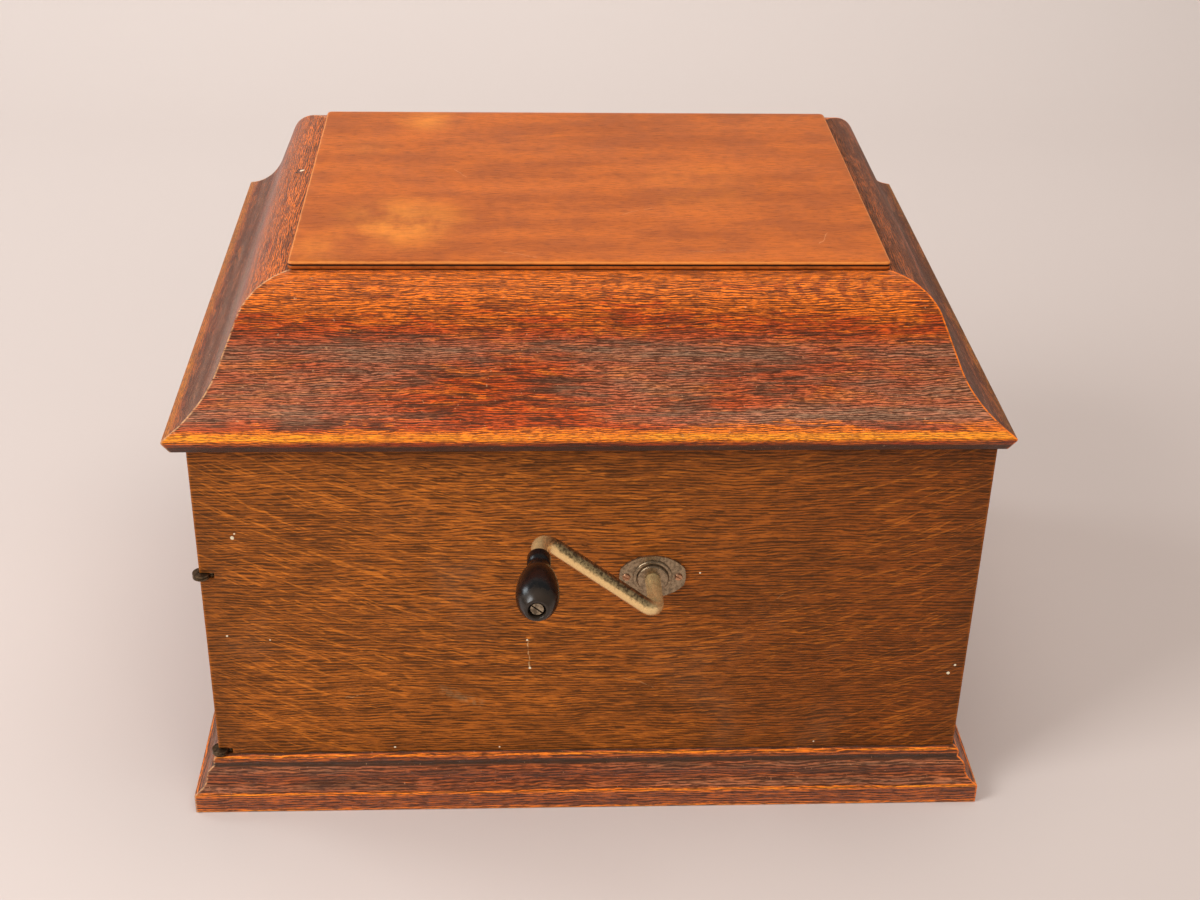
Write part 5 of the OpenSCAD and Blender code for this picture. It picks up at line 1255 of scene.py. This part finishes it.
def crank_path():
    """Points (along the arm, out of the case) of the rod's middle line."""
    cut = KNOB_BEND_R * math.tan(math.radians(90 - KNOB_LEAN) / 2)
    lean = np.array([math.sin(math.radians(KNOB_LEAN)), math.cos(math.radians(KNOB_LEAN))])
    start = np.array([CRANK_LEN, CRANK_OUT])
    straight = np.linspace(0, 1, 9)[:, None]
    knob_bend = (CRANK_LEN - cut, CRANK_OUT + KNOB_BEND_R)
    hub_run = CRANK_OUT - BEND_R - ROD_INNER_END
    parts = [
        np.array([0.0, ROD_INNER_END]) + straight * np.array([0.0, hub_run]),
        arc_points((BEND_R, CRANK_OUT - BEND_R), BEND_R, 180, 90, 18)[1:],
        np.array([BEND_R, CRANK_OUT]) + straight[1:] * np.array([CRANK_LEN - BEND_R - cut, 0.0]),
        arc_points(knob_bend, KNOB_BEND_R, -90, -KNOB_LEAN, 20)[1:],
        start + lean * (cut + straight[1:] * (KNOB_START - GAP - cut))]
    return np.concatenate(parts)


def bar_along(path, radius, around=40):
    """Rings square to a plane path: point (i, j) = path_i + radius * (cos a_j * n +
    sin a_j * t_i x n), with n the plane's normal and t_i the path's direction."""
    middle = HUB + path[:, :1] * ARM + path[:, 1:] * OUT
    tangent = np.gradient(middle, axis=0)
    tangent /= np.linalg.norm(tangent, axis=1, keepdims=True)
    second = np.cross(tangent, SQUARE)
    angle = np.linspace(0, 2 * np.pi, around + 1)[None, :, None]
    points = middle[:, None] + radius * (np.cos(angle) * SQUARE + np.sin(angle) * second[:, None])
    run = np.concatenate([[0], np.cumsum(np.linalg.norm(np.diff(middle, axis=0), axis=1))])
    chart = np.stack(np.broadcast_arrays(run[:, None], angle[:, :, 0] * radius), -1)
    return points * MM, chart * MM, {}


rod = grid_piece("crank_rod_bar", [bar_along(crank_path(), ROD_R)], NICKEL_WORN, sharp=50)
dress(rod, "crank_rod")
print("rod:", len(rod.data.polygons), "faces")

# %% [markdown]
# The knob is turned: a collar, a neck and an egg. A Screw modifier could sweep its
# profile, but only about an axis of an object, and the knob's axis leans with the rod's
# end. So the lathe surface, a profile of radius and height swept round the axis, is
# worked out in its place. Its lacquer is black and glossy, with dust and rubbed brown
# wood towards the end.

# %% The knob's sizes
KNOB_AXIS = math.cos(math.radians(KNOB_LEAN)) * OUT + math.sin(math.radians(KNOB_LEAN)) * ARM
KNOB_FOOT = HUB + CRANK_LEN * ARM + CRANK_OUT * OUT
KNOB_R, KNOB_LEN = 12.4, 56.0
COLLAR_R, COLLAR_H, NECK_R, NECK_Z, END_R = 7.0, 9.5, 6.3, 14.0, 6.6
RECESS_R, RECESS, SEAT_R = 5.1, 4.5, 4.05
LACQUER_BLACK = colour(0.0025, 0.0026, 0.003)
LACQUER_WORN = colour(0.050, 0.031, 0.018)
LACQUER_DUST = colour(0.05, 0.037, 0.026)
print("knob:", KNOB_LEN, "mm long,", 2 * KNOB_R, "mm across")

# %% A lathe surface and the knob's profile


def lathe(profile, foot, axis, around=64):
    """Point (i, j) = foot + height_i * axis + radius_i * (cos a_j * u + sin a_j * v), with
    u and v square to the axis."""
    axis = np.asarray(axis, float) / np.linalg.norm(axis)
    helper = np.array([0, 0, 1.0]) if abs(axis[2]) < 0.9 else np.array([1.0, 0, 0])
    u = np.cross(helper, axis)
    u /= np.linalg.norm(u)
    v = np.cross(axis, u)
    angle = np.linspace(0, 2 * np.pi, around + 1)[None, :, None]
    radius, height = profile[:, :1, None], profile[:, 1:, None]
    points = foot + height * axis + radius * (np.cos(angle) * u + np.sin(angle) * v)
    run = np.concatenate([[0], np.cumsum(np.linalg.norm(np.diff(profile, axis=0), axis=1))])
    chart = np.stack(np.broadcast_arrays(angle[:, :, 0] * profile[:, :1], run[:, None]), -1)
    return points * MM, chart * MM, {}


def knob_profile():
    """Radius and height of the knob from its collar to its end, in millimetres. The grip
    is two quarter ellipses that meet at the belly, cut off at the neck and at the end."""
    belly = 0.72 * KNOB_LEN
    back, front = math.acos(NECK_R / KNOB_R), math.acos(END_R / KNOB_R)
    low = back * (1 - np.linspace(0, 1, 24))
    high = front * np.linspace(0, 1, 24)[1:]
    rise = belly - (belly - NECK_Z) * np.sin(low) / math.sin(back)
    fall = belly + (KNOB_LEN - belly) * np.sin(high) / math.sin(front)
    grip = np.concatenate([np.stack([KNOB_R * np.cos(low), rise], 1),
                           np.stack([KNOB_R * np.cos(high), fall], 1)])
    collar = np.concatenate([arc_points((COLLAR_R - 1.8, 1.8), 1.8, -90, 0, 10),
                             arc_points((COLLAR_R - 6, COLLAR_H - 3), 6.0, 0, 30, 8)])
    floor = KNOB_LEN - RECESS
    return np.concatenate([[[SEAT_R, 0.0]], collar, grip, [
        [RECESS_R + 0.35, KNOB_LEN], [RECESS_R, KNOB_LEN - 0.35], [RECESS_R, floor],
        [SEAT_R, floor], [SEAT_R, 0.0]]])


knob_outline = knob_profile()
print("knob's profile:", len(knob_outline), "points")

# %% The knob and its lacquer


def lacquer():
    material, tree, shader = new_material("black_lacquer")
    vector = coordinates(tree)
    stain = use(tree, TARNISH, {"Vector": vector, "Scale": 90.0})
    tip = KNOB_FOOT + (KNOB_START + KNOB_LEN - 2) * KNOB_AXIS
    end = vector_calc(tree, "DISTANCE", vector, tuple(tip * MM), out="Value")
    ring = step(tree, calc(tree, "MULTIPLY_ADD", stain["Patch"], -4 * MM, end), 12 * MM, 4 * MM)
    base = laid_over(tree, ring, 0.50, LACQUER_BLACK, LACQUER_WORN)
    base = laid_over(tree, stain["Specks"], 0.16, base, LACQUER_DUST)
    rough = calc(tree, "MULTIPLY_ADD", stain["Patch"], 0.10, 0.20)
    finish(tree, shader, base, rough, stain["Fine"], METAL_RELIEF, Specular_IOR_Level=0.40)
    return material


turned = lathe(knob_outline, KNOB_FOOT + KNOB_START * KNOB_AXIS, KNOB_AXIS)
knob = grid_piece("crank_knob_turned", [turned], lacquer(), sharp=50)
dress(knob, "crank_knob")
print("knob:", len(knob.data.polygons), "faces")

# %% [markdown]
# Felt, mica, fibre and plain inner wood
#
# The turntable is covered with green felt, the sound box holds a sheet of mica, the worm
# wheel is pressed fibre, and the boards inside the case have a thinner stain. A plain
# colour each would do from afar; a short tree with some noise keeps them from looking
# like plastic when the lid stands open.

# %% Felt, mica and fibre


def felt_finish():
    material, tree, shader = new_material("green_felt")
    vector = coordinates(tree)
    nap = noise(tree, vector, 1500.0, 3.0, 0.7)
    worn = noise(tree, vector, 18.0, 4.0, 0.6)
    base = mixed(tree, nap, colour(0.018, 0.055, 0.030), colour(0.045, 0.115, 0.060))
    base = laid_over(tree, step(tree, worn, 0.5, 0.7), 0.4, base, colour(0.10, 0.13, 0.07))
    finish(tree, shader, base, 0.95, nap, 0.4 * MM, Sheen_Weight=0.15, Sheen_Roughness=0.5)
    return material


def mica_finish():
    material, tree, shader = new_material("mica")
    vector = coordinates(tree)
    flaw = step(tree, noise(tree, vector, 120.0, 4.0, 0.7), 0.45, 0.7)
    base = mixed(tree, flaw, colour(0.80, 0.76, 0.62), colour(0.62, 0.52, 0.34))
    finish(tree, shader, base, 0.18, Transmission_Weight=0.55, IOR=1.58)
    return material


def fibre_finish():
    material, tree, shader = new_material("brown_fibre")
    vector = coordinates(tree)
    weave = noise(tree, stretched(tree, vector, (500, 500, 2400)), detail=3.0)
    base = mixed(tree, weave, colour(0.09, 0.040, 0.018), colour(0.26, 0.13, 0.055))
    finish(tree, shader, base, 0.55, weave, 0.1 * MM)
    return material


FELT, MICA, FIBRE = felt_finish(), mica_finish(), fibre_finish()
print("finishes:", FELT.name, MICA.name, FIBRE.name)

# %% Plain inner oak


def inner_oak(name, turn, place=(0, 0, 0)):
    """The thinner stain of the boards inside, in the same figure as the panels."""
    material, tree, shader = new_material(name)
    vector = coordinates(tree)
    board = stretched(tree, vector, (1, 1, 1), place, turn)
    figure = use(tree, OAK_FIGURE, {"Vector": board, "Bend": 0.6, "Middle": place[0] + RAY_MIDDLE})
    base = mixed(tree, figure["Tone"], colour(0.20, 0.078, 0.026), colour(0.31, 0.135, 0.048))
    base = laid_over(tree, figure["Lines"], 0.6, base, colour(0.10, 0.034, 0.012))
    base = laid_over(tree, figure["Fleck"], 0.5, base, colour(0.42, 0.20, 0.08))
    rough = calc(tree, "MULTIPLY_ADD", figure["Lines"], 0.15, 0.45)
    finish(tree, shader, base, rough, figure["Lines"], 0.1 * MM, Specular_IOR_Level=0.3)
    return material


INNER_FLAT = inner_oak("inner_oak_flat", (0, 0, math.radians(-90)))
INNER_LEVEL = inner_oak("inner_oak_level", LEVEL_ALONG_X, (1.0, 4.0, 0))
print("inner finishes:", INNER_FLAT.name, INNER_LEVEL.name)

# %% [markdown]
# The solids that keep their shape
#
# All the other parts already have their right shape in the frame. With a material alone
# their edges would stay too sharp to catch any light. So each mesh of loose triangles is
# copied, its doubles are merged, flat areas are joined into whole faces, and a small
# bevel rounds the edges. Thin and toothed pieces go without it, since it would be wider
# than their own faces.

# %% A copy with eased edges
FLAT_WITHIN, SHARP_PAST, EASE_PAST, EASE_STEPS = 0.5, 30.0, 40.0, 2


def eased_copy(node, material, width):
    """A copy of a node's mesh, its edges eased by the width in millimetres if it has one."""
    mesh = frame["nodes"][node].data.copy()
    mesh.name = node + "_finished"
    work = bmesh.new()
    work.from_mesh(mesh)
    bmesh.ops.remove_doubles(work, verts=work.verts, dist=MERGE)
    bmesh.ops.dissolve_limit(work, angle_limit=math.radians(FLAT_WITHIN), verts=work.verts,
                             edges=work.edges)
    work.to_mesh(mesh)
    work.free()
    shade_smooth(mesh, SHARP_PAST)
    piece = new_object(mesh.name, mesh, material)
    if width:
        bevel = piece.modifiers.new("eased_edges", "BEVEL")
        bevel.width = width * MM
        bevel.segments = EASE_STEPS
        bevel.limit_method = "ANGLE"
        bevel.angle_limit = math.radians(EASE_PAST)
        bevel.harden_normals = True
    return dress(piece, node)


print("bevels go on edges past", EASE_PAST, "degrees")

# %% The copies
COPIES = {
    "wood": [(node, finish_of, 0.3 if node.startswith("door") else 0.8)
             for node, finish_of in PANEL_FINISH.items()],
    "inner": [("bottom_board", INNER_FLAT, 0.5), ("motor_board", INNER_FLAT, 0.8),
              ("board_cleats", INNER_FLAT, 0.5), ("horn", INNER_LEVEL, 0.5),
              ("horn_mouth_frame", INNER_LEVEL, 1.0)],
    "iron": [("horn_elbow", IRON, 0.0), ("motor_top_plate", IRON, 0.4),
             ("motor_bottom_plate", IRON, 0.4)],
    "nickel": [("tonearm_bracket", NICKEL, 0.4), ("tonearm_yoke", NICKEL, 0.4),
               ("tonearm", NICKEL, 0.0), ("sound_box_neck", NICKEL, 0.0),
               ("sound_box", NICKEL, 0.3), ("turntable", NICKEL, 0.1), ("brake_lever", NICKEL, 0.0),
               ("regulator_arm", NICKEL, 0.0), ("regulator_dial", NICKEL, 0.2)],
    "steel": [("motor_pillars", STEEL, 0.3), ("backstop_spring", STEEL, 0.0),
              ("crank_knob_screw", SCREW_STEEL, 0.15), ("winding_shaft", STEEL, 0.0),
              ("spindle", STEEL, 0.0), ("mainspring", STEEL, 0.0), ("governor_shaft", STEEL, 0.0),
              ("governor_weights", STEEL, 0.0), ("stylus_bar", STEEL, 0.1), ("needle", STEEL, 0.0),
              ("friction_lever", STEEL, 0.2)],
    "brass": [("board_screws", BRASS, 0.1), ("shaft_bearings", BRASS, 0.3),
              ("door_hinge_plates", DARK_BRASS, 0.2), ("lid_hinge_plates", DARK_BRASS, 0.2),
              ("lid_stay_guide", BRASS, 0.2), ("needle_cups", NICKEL, 0.2),
              ("lid_hinge_leaves", DARK_BRASS, 0.2), ("lid_stay", BRASS, 0.2),
              ("door_knob_right", BRASS, 0.0), ("door_knob_left", BRASS, 0.0),
              ("door_pivots_right", DARK_BRASS, 0.2), ("door_pivots_left", DARK_BRASS, 0.2),
              ("winding_wheel", BRASS, 0.0), ("intermediate_gear", BRASS, 0.0),
              ("spring_barrel", BRASS, 0.0), ("needle_screw", BRASS, 0.1),
              ("escutcheon", BRONZE, 0.25), ("escutcheon_screws", COPPER, 0.1)],
    "others": [("turntable_felt", FELT, 0.3), ("diaphragm", MICA, 0.0), ("worm_wheel", FIBRE, 0.0)]}
for family, members in COPIES.items():
    for node, material, width in members:
        eased_copy(node, material, width)
    print(family + ":", len(members), "copies")

# %% [markdown]
# The studio
#
# A pale sheet runs under the object and rises behind it in one curve. A wide window
# stands to the left of the picture and a smaller one further back, a soft light hangs
# above, a weak one fills from the camera's side, and a fifth lights the sheet at the
# back. A picture of a room could light it instead, but each of these lamps can be moved
# by itself.

# %% Floor and backdrop


def studio_sheet():
    """A floor that turns up into a wall: the height is 0 to the bend, then a quarter
    circle, then straight up; the sheet is wide in Y and lies just below the object."""
    bend_x, bend_r, wall_h, half_width, below = -1.1, 0.9, 2.6, 3.5, 0.2 * MM
    angle = np.linspace(0, np.pi / 2, 24)
    section = np.concatenate([
        [[3.5, 0.0], [1.2, 0.0], [0.0, 0.0]],
        np.stack([bend_x - bend_r * np.sin(angle), bend_r - bend_r * np.cos(angle)], 1),
        [[bend_x - bend_r, wall_h]]])
    across = np.linspace(-half_width, half_width, 9)[None]
    points = np.broadcast_arrays(section[:, None, 0], across, section[:, None, 1] - below)
    points = np.stack(points, -1)
    return points, points[:, :, :2], {}


def studio_finish():
    material, _, shader = new_material("pale_sheet")
    shader.inputs["Base Color"].default_value = colour(0.59, 0.502, 0.462)
    shader.inputs["Roughness"].default_value = 0.9
    shader.inputs["Specular IOR Level"].default_value = 0.1
    return material


sheet = grid_piece("studio_sheet", [studio_sheet()], studio_finish(), sharp=80, fill=False)
print("sheet:", len(sheet.data.polygons), "faces")

# %% The lights


def soft_lamp(name, place, target, size, power, tint):
    """A rectangle of light at a place, facing its target: size in metres, power in watts."""
    data = bpy.data.lights.new(name, "AREA")
    data.shape = "RECTANGLE"
    data.size, data.size_y = size
    data.energy = power
    data.color = tint
    lamp = bpy.data.objects.new(name, data)
    back = np.array(place, float) - np.array(target, float)
    back /= np.linalg.norm(back)
    side = np.cross([0, 0, 1.0], back)
    side = side / np.linalg.norm(side) if np.linalg.norm(side) > 1e-6 else np.array([1.0, 0, 0])
    turn = np.eye(4)
    turn[:3, :3] = np.stack([side, np.cross(back, side), back], 1)
    turn[:3, 3] = place
    lamp.matrix_world = Matrix(turn.tolist())
    bpy.context.scene.collection.objects.link(lamp)
    return lamp


soft_lamp("window", (1.15, -1.9, 1.75), (0, 0, 0.25), (1.1, 1.4), 54.0, (0.95, 0.98, 1.0))
soft_lamp("side_window", (-0.9, -2.3, 1.6), (0, 0, 0.2), (0.8, 1.1), 18.0, (0.88, 0.95, 1.0))
overhead = soft_lamp("overhead", (0.2, 0.3, 2.3), (0, 0, 0.2), (1.8, 1.8), 33.0, (1.0, 0.98, 0.95))
fill = soft_lamp("fill", (2.4, 0.6, 1.3), (0, 0, 0.2), (1.6, 1.2), 13.0, (1.0, 0.97, 0.93))
fill.visible_glossy = overhead.visible_glossy = False
soft_lamp("backdrop", (-0.9, 0.0, 1.2), (-2.0, 0.0, 0.5), (2.5, 0.4), 9.0, (0.90, 0.98, 1.0))
world = bpy.data.worlds.new("studio_air")
bpy.context.scene.world = world
world.use_nodes = True
world.node_tree.nodes["Background"].inputs["Color"].default_value = colour(1.0, 0.97, 0.94)
world.node_tree.nodes["Background"].inputs["Strength"].default_value = 0.25
bpy.context.scene.view_settings.view_transform = "Standard"
print("lights:", len(bpy.data.lights))
